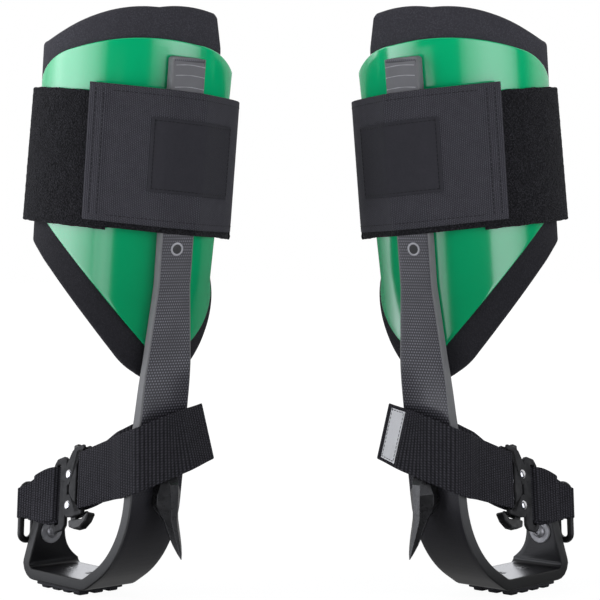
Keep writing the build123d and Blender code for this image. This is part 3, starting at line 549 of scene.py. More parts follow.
# the pad is painted 2.4 times lighter near the top of the leg, a painted highlight
foamCloth = makeFuzz("foamCloth", 0.014, 0.034, 0.0003, 2.4)
loopCloth = makeFuzz("loopCloth", 0.006, 0.052, 0.0012, 1.0)
threadCloth = makeCloth("thread", 0.006, 0.02, 0.03, 0.05, 0.5, 0.0001, 0.1)
gaffSteel = makeMetal("gaffSteel", 0.01, 0.018, 0.3, 0.2, wear=0.5, worn=0.16)
blackSteel = makeMetal("blackSteel", 0.005, 0.011, 0.45, 0.0, wear=0.3, worn=0.08, specular=0.3)
buckleFace = makeMetal("buckleFace", 0.017, 0.025, 0.6, 0.0, wear=0.3, worn=0.1, specular=0.1)
brightSteel = makeMetal("brightSteel", 0.52, 0.66, 0.22, 1.0, wear=0.2, worn=0.8)
washerSteel = makeMetal("washerSteel", 0.24, 0.34, 0.5, 0.6, wear=0.4, worn=0.5)
capRubber = makeMetal("capRubber", 0.11, 0.135, 0.6, 0.0, wear=0.7, worn=0.3, specular=0.3)
capLine = makeMetal("capLine", 0.24, 0.32, 0.6, 0.0, wear=0.5, worn=0.4, specular=0.3)
print("materials ready:", len(bpy.data.materials))

# Carbon bar: a rounded box carried along the J of arm, foot plate, ramp and curve, then up the twisted shank
bar = {"thick": 8.2, "width": 45.0, "corner": 1.1, "footFlat": 65.0, "armHeight": 46.0, "armLean": 4.0,
       "armTopWidth": 24.0, "armTopY": -2.5, "flareStart": 4.0, "hollow": 3.4, "armCorner": 4.0, "rampLength": 15.0,
       "rampAngle": 30.0, "rampCorner": 9.0, "curveRadius": 76.2, "shankLean": 9.0, "narrowStart": 95.0,
       "taperStart": 112.0, "twistEnd": 53.0, "upperWidth": 25.0, "upperLength": 157.0, "seat": 70.3, "step": 1.6,
       "fullRow": 60}
calf = {"radius": 70.0, "middle": 74.3, "height": 94.0, "flapRise": 5.7, "frontTilt": 5.9, "toeTilt": 5.2,
        "hingeRadius": 73.25, "hingeAngle": 75.0}

legUp = jointAxis("cuff_height")
legLean = math.hypot(legUp[0], legUp[1])
legOut = np.array((legUp[0], legUp[1], 0)) * legUp[2] / legLean - upward * legLean
legSide = np.cross(legUp, legOut)
hinge = jointPlace("flap_open")
hingeCos, hingeSin = turned(calf["hingeAngle"])
legFoot = hinge - (legOut * hingeCos + legSide * hingeSin) * calf["hingeRadius"]
legFoot = legFoot - legUp * (calf["middle"] + calf["flapRise"])


def legPoint(out, across, height):
    # a point in the leg's own axes: out through the shank, across to the heel, up the leg
    out, across, height = np.broadcast_arrays(out, across, height)
    return legFoot + out[..., None] * legOut + across[..., None] * legSide + height[..., None] * legUp


leanCos, leanSin = turned(bar["shankLean"])
shankUp, shankOut = np.array((leanSin, 0, leanCos)), np.array((leanCos, 0, -leanSin))
rampCos, rampSin = turned(bar["rampAngle"])
rampFoot = np.array((bar["footFlat"] / 2, 0.0))
rampAhead = np.array((rampCos, rampSin))
curveReach = bar["curveRadius"] * math.tan(math.radians(90 - bar["shankLean"] - bar["rampAngle"]) / 2)
curveCorner = rampFoot + rampAhead * (bar["rampLength"] + curveReach)
curveEnd = curveCorner + shankUp[[0, 2]] * curveReach


def makeBarPath():
    # inner face line of the J in its own plane, moved out by half the thickness; then the shank's upper middle line
    armCos, armSin = turned(bar["armLean"])
    armRoot = np.array((-bar["footFlat"] / 2, 0.0))
    armTop = armRoot + np.array((armSin, armCos)) * bar["armHeight"] / armCos
    taper = curveEnd + shankUp[[0, 2]] * (bar["taperStart"] - curveEnd[1]) / leanCos
    line = roundCorners([armTop, armRoot, rampFoot, curveCorner, taper],
                        [0, bar["armCorner"], bar["rampCorner"], bar["curveRadius"], 0], steps=14)
    total = lengthAlong(line)[-1]
    crown = bar["armTopWidth"] / 2 * (1 - np.cos(np.linspace(0.05, math.pi / 2, 12)))
    places = np.concatenate((crown, np.arange(crown[-1] + bar["step"], total, bar["step"]), [total]))
    normal = unit(pointsAt(line, places, normalsOf(line, closed=False)))
    middle = pointsAt(line, places) + normal * bar["thick"] / 2
    path, out = (np.insert(flat, 1, 0.0, axis=1) for flat in (middle, normal))
    seat = bar["seat"] + bar["thick"] / 2
    t = np.linspace(0, 1, 40)[1:, None]
    twist = path[-1] * (1 - t) + legPoint(seat, 0.0, -bar["twistEnd"]) * t
    rise = np.append(np.arange(bar["step"] - bar["twistEnd"], bar["upperLength"], bar["step"]), bar["upperLength"])
    upper = legPoint(seat, 0.0, rise)
    turn = np.concatenate((path[:, :1] * 0, smoothStep(0, 1, t), np.ones((len(upper), 1))))
    wide = unit(heelward * (1 - turn) + legSide * turn)
    out = np.concatenate((out, unit(shankOut * (1 - turn) + legOut * turn)[len(out):]))
    return np.concatenate((path, twist, upper)), out, wide, len(middle)


def barEdges(path, armRows):
    # toe and heel edges: the arm flares from its round top, the shank narrows evenly up to the leg's foot
    z = path[:, 2]
    full = bar["width"] / 2
    legZ = legPoint(bar["seat"], 0.0, 0.0)[2]
    half = full - (full - bar["upperWidth"] / 2) * np.clip((z - bar["narrowStart"]) / (legZ - bar["narrowStart"]), 0, 1)
    toe, heel = -half, half.copy()
    topHalf = bar["armTopWidth"] / 2
    shoulder = bar["armHeight"] - topHalf
    flare = np.clip((shoulder - z) / (shoulder - bar["flareStart"]), 0, 1)
    dome = np.sqrt(np.clip(topHalf ** 2 - np.clip(z - shoulder, 0, topHalf - 0.01) ** 2, 0.5, None))
    onArm = (np.arange(len(z)) < armRows) & (path[:, 0] < 0) & (z > bar["flareStart"] - bar["thick"])
    toeArm = bar["armTopY"] - dome - (full + bar["armTopY"] - topHalf) * flare
    heelArm = bar["armTopY"] + dome + (full - bar["armTopY"] - topHalf) * flare ** bar["hollow"]
    return np.where(onArm, toeArm, toe), np.where(onArm, heelArm, heel)


def makeShank(side):
    path, out, wide, armRows = makeBarPath()
    toe, heel = barEdges(path, armRows)
    middle, half = (toe + heel)[:, None] / 2, (heel - toe)[:, None] / 2
    corner = np.minimum(bar["corner"], half * 0.8)
    base = roundBox(2.0, 2.0, 0.0001, flats=7, steps=5)
    turn = np.add.outer(np.arange(4) * math.pi / 2, np.linspace(0, math.pi / 2, 5)).ravel()
    isCorner = (np.abs(np.abs(base) - 1) < 0.01).all(1)
    curl = np.zeros_like(base)
    curl[isCorner] = np.stack((np.cos(turn), np.sin(turn)), 1)
    sign = np.where(isCorner[:, None], np.sign(base), base)
    across = middle + sign[:, 0] * (half - corner * isCorner) + curl[:, 0] * corner
    deep = sign[:, 1] * (bar["thick"] / 2 - corner * isCorner) + curl[:, 1] * corner
    points = path[:, None] + across[..., None] * wide[:, None] + deep[..., None] * out[:, None]
    fullRow = points[bar["fullRow"]]
    around = lengthAlong(np.concatenate((fullRow, fullRow[:1])))
    uv = np.stack(np.broadcast_arrays(lengthAlong(path)[:, None], around), -1) / 10
    # faces: the outer one, then edges and corners, then the boot's side, which takes a darker copy of the carbon as
    # painted shade
    isEdge = (isCorner & np.roll(isCorner, -1)) | (np.abs(np.roll(base[:, 1], -1) - base[:, 1]) > 0.5)
    columns = np.where(isEdge, 1, np.where(base[:, 1] < -0.9, 2, 0))
    shell = {**gridShell(points, uv=uv), "material": np.tile(columns, len(path) - 1)}
    addPiece("carbon_shank", side, [shell], "frame", [carbonFace, carbonEdge, carbonBootPaintedShade], ["shank"])


makePair("shanks", makeShank)

# Cuff and pad: an outline laid on a cylinder round the leg, with the same rounded rim all the way round
cuffEdge = calf["radius"] * 0.963
cuff = {"shield": -24.0, "wall": 2.0, "points": 260, "middle": (0.0, 60.0), "rim": 1.0, "limit": (0.961, 0.985),
        "outline": (((-cuffEdge, 132), (-62, 146.5), (-50, 156.5)), ((-50, 156.5), (-12, 168), (38, 166)),
                    ((38, 166), (54.5, 159.5), (64.5, 147)), ((58.5, 0), (54, -32), (40, -47)),
                    ((40, -47), (27, -50), (14, -42)), ((-cuffEdge, 44), (-cuffEdge, 131)))}
pad = {"thick": 10.0, "gap": 0.3, "fill": 0.5, "limit": (0.999, 0.985),
       "outline": (((-73, 152), (-32, 183), (10, 190)), ((10, 190), (31, 191.3), (50.5, 187.5)),
                   ((51.2, 186.6), (55.4, 166)), ((60, 0), (55, -48), (44, -64)), ((44, -64), (26, -69), (8, -63)),
                   ((8, -63), (-1, -57), (-8, -50)),
                   ((-60, 6), (-70, 18), (-73.6, 18.5), (-75, 30), (-75, 150)))}


def shieldShell(outline, outer, wall, rim, limit):
    # the outline is unrolled, shrunk to its middle in even rings, and rolled back on the cylinder at two radii
    # that a half round joins at the rim
    outline = evenly(outline, 4 * cuff["points"], closed=True)
    across = np.clip(outline[:, 0] / outer, -limit[0], limit[1])
    flat = np.stack((np.arcsin(across) * outer, outline[:, 1]), 1)
    keep = np.linalg.norm(np.diff(flat, axis=0, append=flat[:1]), axis=1) > 0.05
    flat = evenly(flat[keep], cuff["points"], closed=True)
    middle = np.array(cuff["middle"])
    reach = np.linalg.norm(flat - middle, axis=1)
    inner = np.linspace(0.06, 0.95, 20)
    t = np.linspace(0, math.pi, 11)
    shareOut = np.concatenate((inner, np.ones(len(t)), inner[::-1]))
    inset = np.concatenate((inner * 0, rim * (1 - np.sin(t)), inner * 0))
    depth = np.concatenate((inner * 0, wall / 2 * (1 - np.cos(t)), inner * 0 + wall))
    share = shareOut[:, None] - inset[:, None] / reach[None]
    place = middle + (flat - middle)[None] * share[..., None]
    angle = math.radians(cuff["shield"]) + place[..., 0] / outer
    radius = outer - depth[:, None]
    points = legPoint(radius * np.cos(angle), radius * np.sin(angle), place[..., 1])
    uv = np.concatenate((place, place[:, :1]), 1) / 10
    return gridShell(points, uv=uv)


def makeCuff(side):
    shell = shieldShell(outlineOf(cuff["outline"]), calf["radius"], cuff["wall"], cuff["rim"], cuff["limit"])
    addPiece("green_cuff", side, [shell], "cuff", [greenPaint], ["cuff_shell"])
    outer = calf["radius"] - cuff["wall"] - pad["gap"]
    shell = shieldShell(outlineOf(pad["outline"]), outer, pad["thick"], pad["thick"] / 2, pad["limit"])
    foam = addPiece("foam_pad", side, [shell], "cuff", [foamCloth], ["cuff_pad"])


makePair("cuffs and pads", makeCuff)

# Calf strap: a loop band round the back of the leg, and a flap over the shank with a plain patch
band = {"inner": 70.4, "wall": 2.5, "flare": 2.5, "toeAngle": -38.0, "heelAngle": -284.6, "nap": 0.3,
        "seams": (35.0, 39.0), "seamSpan": (5.0, 250.0), "seamInset": 4.0}
flap = {"wall": 2.4, "gap": 0.4, "bends": (5.0, 14.0), "toeAngle": -51.0, "hem": 0.9, "hemWidth": 13.0,
        "hemSeams": (5.0, 10.5), "hemInset": 4.0, "seamStart": 4.0, "seamInset": 4.5, "loopStrip": (-4.0, 8.0)}
patch = {"halfWidth": 38.5, "height": 51.0, "rise": 2.0, "y": 14.5, "wall": 1.0, "seamInset": 2.2}
bandLow, bandHigh = calf["middle"] - calf["height"] / 2, calf["middle"] + calf["height"] / 2


def flapLine():
    # in the leg's section: round the heel side, straight over the shank's two edges, round the toe side
    heelRadius = band["inner"]
    toeRadius = band["inner"] + band["wall"] + flap["gap"]
    face = bar["seat"] + bar["thick"] + flap["gap"]
    edge = bar["upperWidth"] / 2 + flap["gap"]
    reach = math.hypot(face, edge)
    lean = math.atan2(edge, face)
    heelTouch = lean + math.acos(heelRadius / reach)
    toeTouch = -lean - math.acos(toeRadius / reach)
    heelArc = np.linspace(math.radians(calf["hingeAngle"]), heelTouch, 30)
    toeArc = np.linspace(toeTouch, math.radians(flap["toeAngle"]), 30)
    heelPart = heelRadius * np.stack((np.cos(heelArc), np.sin(heelArc)), 1)
    toePart = toeRadius * np.stack((np.cos(toeArc), np.sin(toeArc)), 1)
    over = roundCorners([heelPart[-1], (face, edge), (face, -edge), toePart[0]], (1, *flap["bends"], 1), steps=12)
    return evenly(np.concatenate((heelPart, over[1:-1], toePart)), 150)


def slantAt(place):
    # how far the strap's slanted edges rise at a place in the leg's section
    front, toe = (math.tan(math.radians(calf[key])) for key in ("frontTilt", "toeTilt"))
    return place[..., 0] * front - place[..., 1] * toe


def outOfLeg(line):
    # unit normals of a line round the leg, away from its middle
    normal = normalsOf(line, closed=False)
    return normal * np.sign((normal * line).sum())


def stripShell(line, low, high, under, over, flats=14, nap=0.0, flare=0.0):
    # a flat line in the leg's section carried up from low to high on the slant, with under and over as its two
    # sides' offsets; the last few rows draw in to a round end, and a nap adds crossed ripples to the outer side
    along = lengthAlong(line)
    under, over = np.broadcast_to(under, len(line)), np.broadcast_to(over, len(line))
    middle, half = (under + over) / 2, (over - under) / 2
    fromEnd = np.minimum(along, along[-1] - along) / np.maximum(half, 0.1)
    half = half * np.sqrt(np.clip(1 - np.clip(1 - fromEnd, 0, 0.95) ** 2, 0.1, 1))
    profile = roundBox(high - low, 2.0, 0.9, flats=flats)
    s = along[:, None]
    wave = nap * (np.sin(s * 0.31) + 0.6 * np.sin(s * 0.83 + 1.0) + 0.5 * np.sin(s * 1.9))
    height = (low + high) / 2 + profile[:, 0] * (1 + wave / (high - low))
    ripple = np.sin(s * 1.7 + 1.3 * np.sin(height * 0.9)) * np.sin(height * 1.45 + np.sin(s * 0.7))
    out = middle[:, None] + profile[:, 1] * half[:, None] + nap * ripple * (profile[:, 1] > 0.5)
    out = out + flare * (high - height) / (high - low)
    place = line[:, None] + outOfLeg(line)[:, None] * out[..., None]
    points = legPoint(place[..., 0], place[..., 1], height + slantAt(place))
    return gridShell(points, uv=weaveUv(along, profile[:, 0]))


def stripSeams(line, offset, uprights, heights, span=None):
    # stitches on a strip: upright rows between two heights, and level rows at those heights along a span
    rows = [(place, place, *heights) for place in uprights]
    rows += [(*span, height, height) for height in heights] if span else []
    seams = []
    for start, end, low, high in rows:
        places = np.linspace(start, end, 60)
        out = pointsAt(line, places, outOfLeg(line))
        spot = pointsAt(line, places) + out * offset
        path = legPoint(spot[:, 0], spot[:, 1], np.linspace(low, high, 60) + slantAt(spot))
        seams.append(stitchShell(path, out[:, :1] * legOut + out[:, 1:] * legSide))
    return seams


def makeBand(side):
    sweep = np.radians(np.linspace(band["toeAngle"], band["heelAngle"], 200))
    line = (band["inner"] + 0.01) * np.stack((np.cos(sweep), np.sin(sweep)), 1)
    strip = stripShell(line, bandLow, bandHigh, 0.0, band["wall"], flats=56, nap=band["nap"], flare=band["flare"])
    heights = bandLow + band["seamInset"], bandHigh - band["seamInset"]
    seams = stripSeams(line, band["wall"], band["seams"], heights, band["seamSpan"])
    addPiece("loop_band", side, [strip, *seams], "cuff", [loopCloth, threadCloth], ["calf_strap"])


def makeFlap(side):
    line = flapLine()
    along = lengthAlong(line)
    low, high = bandLow + calf["flapRise"], bandHigh + calf["flapRise"]
    wall, hemStart = flap["wall"], along[-1] - flap["hemWidth"]
    strip = stripShell(line, low, high, 0.0, wall + flap["hem"] * smoothStep(hemStart - 1, hemStart + 1, along))
    below, above = flap["loopStrip"]
    under = {**stripShell(line[4:-6], low + below, low + above, -0.1, 1.0), "material": 2}
    seams = stripSeams(line, wall + flap["hem"], along[-1] - np.array(flap["hemSeams"]),
                       (low + flap["hemInset"], high - flap["hemInset"]))
    seams += stripSeams(line, wall, (), (low + flap["seamInset"], high - flap["seamInset"]),
                        (flap["seamStart"], hemStart - 2))
    addPiece("woven_flap", side, [strip, under, *seams], "flap", [flapCloth, threadCloth, loopCloth], ["strap_flap"])

    middle = np.interp(-patch["y"], -line[:, 1], along)
    line = pointsAt(line, np.linspace(middle - patch["halfWidth"], middle + patch["halfWidth"], 60))
    low = low + (calf["height"] - patch["height"]) / 2 + patch["rise"]
    high, top, inset = low + patch["height"], wall + patch["wall"], patch["seamInset"]
    span = inset, 2 * patch["halfWidth"] - inset
    seams = stripSeams(line, top, span, (low + inset, high - inset), span)
    addPiece("plain_patch", side, [stripShell(line, low, high, wall, top), *seams], "flap", [patchCloth, threadCloth],
             ["flap_patch"])


makePair("calf straps", makeBand, makeFlap)

# Ankle strap: one loop of webbing in plan, laid on a slope that falls to the outside and to the toe
ankle = {"width": 42.0, "thick": 2.2, "fall": 18.0, "roll": 14.0, "barBack": 15.0, "barLoop": 1.9, "heelFold": 36.5,
         "gaffY": 4.0, "toeEdge": -23.1, "stemSide": 108.5, "rise": 4.0, "bootSide": 76.6, "fold": 0.28,
         "join": 84.0, "draw": 0.05, "farLift": 6.0, "bends": (1.89, 9, 6, 5, 6, 9, 2.1, 2.1, 9, 8, 6, 1.89)}
buckleX, buckleZ = jointAxis("tongue_release"), jointAxis("upper_clip_press")
buckleY = np.cross(buckleZ, buckleX)
buckleAxes = np.stack((buckleX, buckleY, buckleZ))
buckleMiddle = (jointPlace("upper_clip_press") + jointPlace("lower_clip_press")) / 2


def buckleLine(points):
    return buckleMiddle + np.asarray(points, float) @ buckleAxes


def slopedStrap(place, across):
    # a place in plan and a height across the webbing, laid on the strap's slope and leaning at the heel fold
    fallTan, rollTan = (math.tan(math.radians(ankle[key])) for key in ("fall", "roll"))
    across = across * (1 - ankle["draw"] * smoothStep(8, ankle["heelFold"], place[..., 1]))
    slid = place[..., 1] - across * ankle["fold"] * smoothStep(-8, 18, place[..., 1])
    rise = (place[..., 0] - buckleMiddle[0]) * fallTan + (slid - buckleMiddle[1]) * rollTan
    rise = rise + buckleMiddle[2] + ankle["rise"] + across * math.sqrt(1 + fallTan ** 2 + rollTan ** 2)
    return np.stack((place[..., 0], slid, rise), -1)


def makeAnkleStrap(side):
    stem, boot, y0 = ankle["stemSide"], ankle["bootSide"], buckleMiddle[1]
    front, back = y0 - ankle["barLoop"], y0 + ankle["barLoop"]
    barX = buckleMiddle[0] - buckleX[0] * ankle["barBack"] - ankle["barLoop"]
    plan = np.array([
        (barX, front), (boot - 8, front), (boot + 6, ankle["toeEdge"]), (stem - 8, ankle["toeEdge"]),
        (stem, ankle["gaffY"] - 12), (stem, ankle["gaffY"] + 8), (stem - 7, ankle["heelFold"]),
        (stem - 11.5, ankle["heelFold"]), (boot, 24), (boot, -8), (boot - 10, back), (barX, back)])
    line = evenly(roundCorners(plan, ankle["bends"], steps=10, closed=True), 420, closed=True)
    normal = normalsOf(line)
    line = line + normal * ankle["thick"] / 2
    profile = roundBox(ankle["width"], ankle["thick"], ankle["thick"] * 0.42, flats=12)
    across = profile[None, :, 0]
    place = line[:, None] + normal[:, None] * profile[None, :, 1:]
    farRun = (line[:, 1] > y0) & (line[:, 0] < boot)
    rise = smoothStep(barX, barX + 40, line[:, 0]) * (1 - smoothStep(-8, 24, line[:, 1]))
    upright = slopedStrap(place, across)
    upright[..., 2] += (ankle["farLift"] * np.where(farRun, rise, 0))[:, None]
    # nearer the buckle the runs lean with it
    run = (place[..., 0] - buckleMiddle[0]) / buckleX[0]
    height = np.broadcast_to(across + ankle["rise"], run.shape)
    leaning = buckleLine(np.stack((run, height, place[..., 1] - y0), -1))
    share = np.clip((ankle["join"] - line[:, 0]) / (ankle["join"] - barX), 0, 1)[:, None, None]
    points = upright * (1 - share) + leaning * share
    along = lengthAlong(np.concatenate((line, line[:1])))
    shell = gridShell(points, closeU=True, uv=weaveUv(along, profile[:, 0]))
    addPiece("ankle_webbing", side, [shell], "frame", [webbing], ["ankle_strap"])


makePair("ankle straps", makeAnkleStrap)

# Side-release buckle: plates, clips and tongue cut from outlines in the buckle's plane
buckle = {"plate": 2.0, "clip": 3.0, "gap": 0.2, "rivetPitch": 11.5, "bevel": 0.45, "hookHalf": 3.4, "hookBevel": 0.8,
          "bar": (-20.6, 29.0), "barRadius": 1.6,
          "head": [(0.05, 1.3), (1.3, 1.2), (2.5, 0.9), (3.2, 0.4), (3.5, 0.0), (3.5, -0.2), (0.05, -0.2)]}
halfClip = buckle["clip"] / 2
halfInside = halfClip + buckle["gap"]
halfOutside = halfInside + buckle["plate"]


def mirrored(half):
    half = np.asarray(half, float)
    return np.concatenate((half, half[::-1] * (1, -1)))


plateCorners = [(4.5, 15), (2.5, 20), (-4, 28.2), (-8, 30), (-19, 30), (-19, 26.2), (-10.1, 26.2), (-10.1, -18.4),
                (-18, -18.4), (-18, -21.6), (-5, -21.6), (2, -20), (4.5, -15)]
plateOutline = roundCorners(plateCorners, [5, 4, 3, 2, 1.5, 1, 1.5, 1.5, 1, 1.2, 3, 2.5, 3], closed=True)
plateSlot = roundCorners(mirrored([(-1.2, 3.6), (1.0, 3.6)]), 0.7, closed=True)
# the upper clip ends in a thumb tab, the lower one in a hook that reaches back under the strap
clipRoot = [(5, 8), (5, 12), (3.5, 16), (-1.5, 19)]
clipBack = [(-8.4, 23.5), (-9.4, 17), (-8.6, 9.5)]
clipTips = {"upper": [(-2.6, 33), (-8.2, 33)], "lower": [(-2.4, 25.5), (-8.4, 26)]}
clipOutlines = {clip: roundCorners(clipRoot + tip + clipBack, [0.6, 1.2, 2, 2, 0.8, 0.8, 1, 3, 1], closed=True)
                for clip, tip in clipTips.items()}
hookOutline = roundCorners([(-1.5, -23.2), (-2.2, -28), (-9, -31), (-16.5, -31.4), (-23, -28.2), (-27, -23.2),
                            (-26.2, -21.6), (-23.5, -22.6), (-18, -25.2), (-8, -23.6)], 0.8, closed=True)
tongueOuter = roundCorners(
    mirrored([(-5, 5.6), (-3, 7.6), (6, 7.6), (6, 24.5), (9, 27.5), (18.5, 27.5), (22.5, 23.5)]),
    [0.8, 0.8, 0.8, 1.5, 2, 2.5, 2.5, 2.5, 2.5, 2, 1.5, 0.8, 0.8, 0.8], closed=True)
tongueSlot = roundCorners(mirrored([(14, 22.5), (19, 22.5)]), 1.2, closed=True)


def alignOutlines(*outlines):
    # outlines that start at the point furthest along the first axis and run the same way round, with as many points
    for line in outlines:
        line = evenly(line if signedArea(line) > 0 else line[::-1], 160, closed=True)
        x, y = (line - (line.max(0) + line.min(0)) / 2).T
        yield np.roll(line, -int(np.argmin(np.abs(np.arctan2(y, x)))), 0)


def makeBuckle(side):
    def plate(outline, low, high, hole=None, bevel=buckle["bevel"]):
        return plateShell(outline, buckleMiddle, buckleAxes, low, high, bevel, hole)

    outer, slot = alignOutlines(plateOutline, plateSlot)
    addPiece("buckle_front", side, [plate(outer, -halfOutside, -halfInside, slot)], "frame", [buckleFace],
             ["buckle_cover_plate"])
    addPiece("buckle_back", side, [plate(plateOutline, halfInside, halfOutside)], "frame", [buckleFace],
             ["buckle_base_plate"])
    heads = [latheShell(buckle["head"], buckleLine((0, y, out * halfOutside)), (buckleX, buckleY, buckleZ * out), 28)
             for y in (buckle["rivetPitch"], -buckle["rivetPitch"]) for out in (1, -1)]
    addPiece("rivet_heads", side, heads, "frame", [brightSteel], ["buckle_rivets"])
    hook = plate(hookOutline, -buckle["hookHalf"], buckle["hookHalf"], bevel=buckle["hookBevel"])
    for clip, up, more in (("upper", 1, []), ("lower", -1, [hook])):
        lever = plate(clipOutlines[clip] * (1, up), -halfClip, halfClip)
        addPiece(f"{clip}_clip", side, [lever, *more], f"{clip}_clip", [blackSteel], [f"{clip}_release_clip"])
    (low, high), r = buckle["bar"], buckle["barRadius"]
    rod = latheShell([(0.05, low), (r, low), (r, high), (0.05, high)], buckleLine((-ankle["barBack"], 0, 0)),
                     (buckleZ, buckleX, buckleY), 24)
    addPiece("strap_bar", side, [rod], "frame", [blackSteel], ["buckle_webbing_bar"])
    outer, slot = alignOutlines(tongueOuter, tongueSlot)
    addPiece("tongue_plate", side, [plate(outer, -halfClip, halfClip, slot)], "tongue", [buckleFace],
             ["buckle_tongue"])


makePair("buckles", makeBuckle)

# Gaff: many-sided sections along the spike, so that it keeps flat facets
gaff = {"y": 4.0, "bevel": 0.5}
gaffFoot = np.array((curveEnd[0], 0, curveEnd[1])) + shankOut * bar["thick"] + heelward * gaff["y"]
gaffSections = np.array([
    # height, back, front, half width, front half width
    (51.0, 0.0, 6.0, 7.0, 5.5), (48.0, 0.0, 9.0, 7.0, 5.5), (21.0, 0.0, 9.0, 7.0, 5.5), (15.0, 0.0, 14.0, 7.4, 3.6),
    (8.0, 0.0, 15.2, 10.0, 3.2), (0.0, 0.2, 16.2, 10.0, 3.0), (-3.5, 1.5, 16.6, 8.6, 2.8), (-9.5, 9.6, 17.2, 6.4, 2.4),
    (-14.0, 13.2, 19.2, 5.6, 2.0), (-20.0, 17.2, 22.2, 4.8, 1.6), (-26.0, 21.6, 25.2, 3.6, 1.1),
    (-31.0, 25.8, 27.6, 2.0, 0.6), (-34.5, 28.8, 29.2, 0.35, 0.12)])


def makeGaff(side):
    height, back, front, half, ridge = (gaffSections[:, k:k + 1] for k in range(5))
    middle = back * 0.45 + front * 0.55
    across = np.concatenate((-ridge, ridge, half, half * 0.8, -half * 0.8, -half), 1)
    reach = np.concatenate((front, front, middle, back, back, middle), 1)
    points = gaffFoot + reach[..., None] * shankOut + across[..., None] * heelward + height[..., None] * shankUp
    spike = addPiece("steel_gaff", side, [gridShell(points)], "frame", [gaffSteel], ["gaff"], sharp=8)
    bevel = spike.modifiers.new("edges", "BEVEL")
    bevel.width = gaff["bevel"] * mm
    bevel.segments = 2
    bevel.limit_method = "ANGLE"
    bevel.angle_limit = math.radians(12)


makePair("gaffs", makeGaff)

# Anchor on the outside arm: ring, washer and bolt head, and the short webbing to the tongue
# each of the webbing's wraps: how far it ends from the ring, how much it is thicker, its half width and its lift
anchor = {"wire": 2.5, "ringHeight": 41.5, "ringWidth": 11.0, "ringCorner": 5.3, "ringRise": 1.25, "turnRise": 7.0,
          "turnHalf": 11.3, "height": 26.0, "y": -3.5, "washer": 9.0, "washerThick": 1.6, "head": 4.8,
          "headThick": 3.0, "socket": 2.1, "socketDeep": 1.6, "slot": 17.2, "thick": 1.9,
          "wraps": ((0.0, 0.0, 21.2, 0.0), (-21.0, 2.3, 20.2, 0.6))}
ringBar, armUp = jointPlace("ring_swing"), -jointAxis("ring_swing")
armOut = np.cross(armUp, heelward)
ringMiddle = ringBar + armUp * anchor["ringRise"] - heelward * anchor["ringWidth"] / 2


def makeRing(side):
    outline = boxOutline(anchor["ringWidth"], anchor["ringHeight"], anchor["ringCorner"], 10)
    outline = evenly(outline, 120, closed=True)
    path = ringMiddle + outline[:, :1] * heelward + outline[:, 1:] * armUp
    wire = tubeShell(path, anchor["wire"], armOut[None], 16, closed=True)
    addPiece("wire_ring", side, [wire], "ring", [blackSteel], ["anchor_ring"])


def makeAnchorHead(side):
    armCos = turned(bar["armLean"])[0]
    root = np.array((-bar["footFlat"] / 2, anchor["y"], 0)) + armUp * anchor["height"] / armCos
    axes = (heelward, armUp, -armOut)
    r, t = anchor["washer"], anchor["washerThick"]
    disc = latheShell([(0.05, t), (r - 0.5, t), (r, t - 0.4), (r, 0.05), (0.05, 0.05)], root, axes, 48)
    addPiece("arm_washer", side, [disc], "frame", [washerSteel], ["anchor_washer"])
    h, k, socket = anchor["head"], anchor["headThick"], anchor["socket"]
    floor = t + k - anchor["socketDeep"]
    profile = [(0.05, floor), (socket * 0.98, floor), (socket, t + k), (socket + 0.7, t + k),
               (h * 0.85, t + k * 0.7), (h, t + 0.4), (h, t), (0.05, t)]
    addPiece("arm_bolt", side, [latheShell(profile, root, axes, 36)], "frame", [washerSteel], ["anchor_bolt"])


def loopShell(line, up, halfUp, thick):
    # a closed loop of webbing: line[i] is its middle, up[i] its way across, halfUp[i] half its width there
    out = unit(np.cross(aheadOf(line), up))
    profile = roundBox(2.0, 0.16, 0.07, flats=10)
    points = line[:, None] + (profile[None, :, :1] * halfUp[:, None, None]) * up[:, None]
    points = points + (profile[None, :, 1:] / 0.08 * thick / 2) * out[:, None]
    along = lengthAlong(np.concatenate((line, line[:1])))
    across = profile[:, 0] * np.append(halfUp, halfUp[0])[:, None]
    return gridShell(points, closeU=True, uv=weaveUv(along, across))


def makeAnchorWebbing(side):
    # two wraps from the tongue's slot round the ring's toe-side bar, the outer one shorter and set over the first
    ringToe = ringMiddle - heelward * anchor["ringWidth"] / 2 + armUp * anchor["turnRise"]
    far = buckleAxes @ (ringToe - buckleMiddle)
    slot = anchor["slot"]

    def ringShare(run):
        # 0 at the tongue's slot and 1 at the ring
        return np.clip((run - slot) / (far[0] - slot), 0, 1)

    shells = []
    for end, grow, wide, lift in anchor["wraps"]:
        tip = far[0] + end
        across = far[2] * ringShare(tip)
        near, turn = anchor["thick"] + grow, anchor["wire"] + 0.5 + grow
        plan = np.array([(slot, -near), (tip, across - turn), (tip + turn, across), (tip, across + turn),
                         (slot, near), (slot - 2.2, 0.0)])
        line = evenly(roundCorners(plan, [1.5, 2.2, 2.0, 2.2, 1.5, 1.0], steps=8, closed=True), 140, closed=True)
        share = ringShare(line[:, 0])
        middle = buckleLine(np.stack((line[:, 0], far[1] * share + lift, line[:, 1]), 1))
        up = unit((1 - share[:, None]) * buckleY + share[:, None] * armUp)
        halfUp = wide + (anchor["turnHalf"] - wide) * smoothStep(0.05, 1.0, share)
        shells.append(loopShell(middle, up, halfUp, anchor["thick"]))
    piece = addPiece("anchor_loop", side, shells, None, [webbing], ["anchor_webbing"])
    start, end = (toRow(point[None], side)[0] for point in (ringToe, buckleMiddle + buckleX * 20))
    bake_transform(piece)


makePair("anchors", makeRing, makeAnchorHead, makeAnchorWebbing)

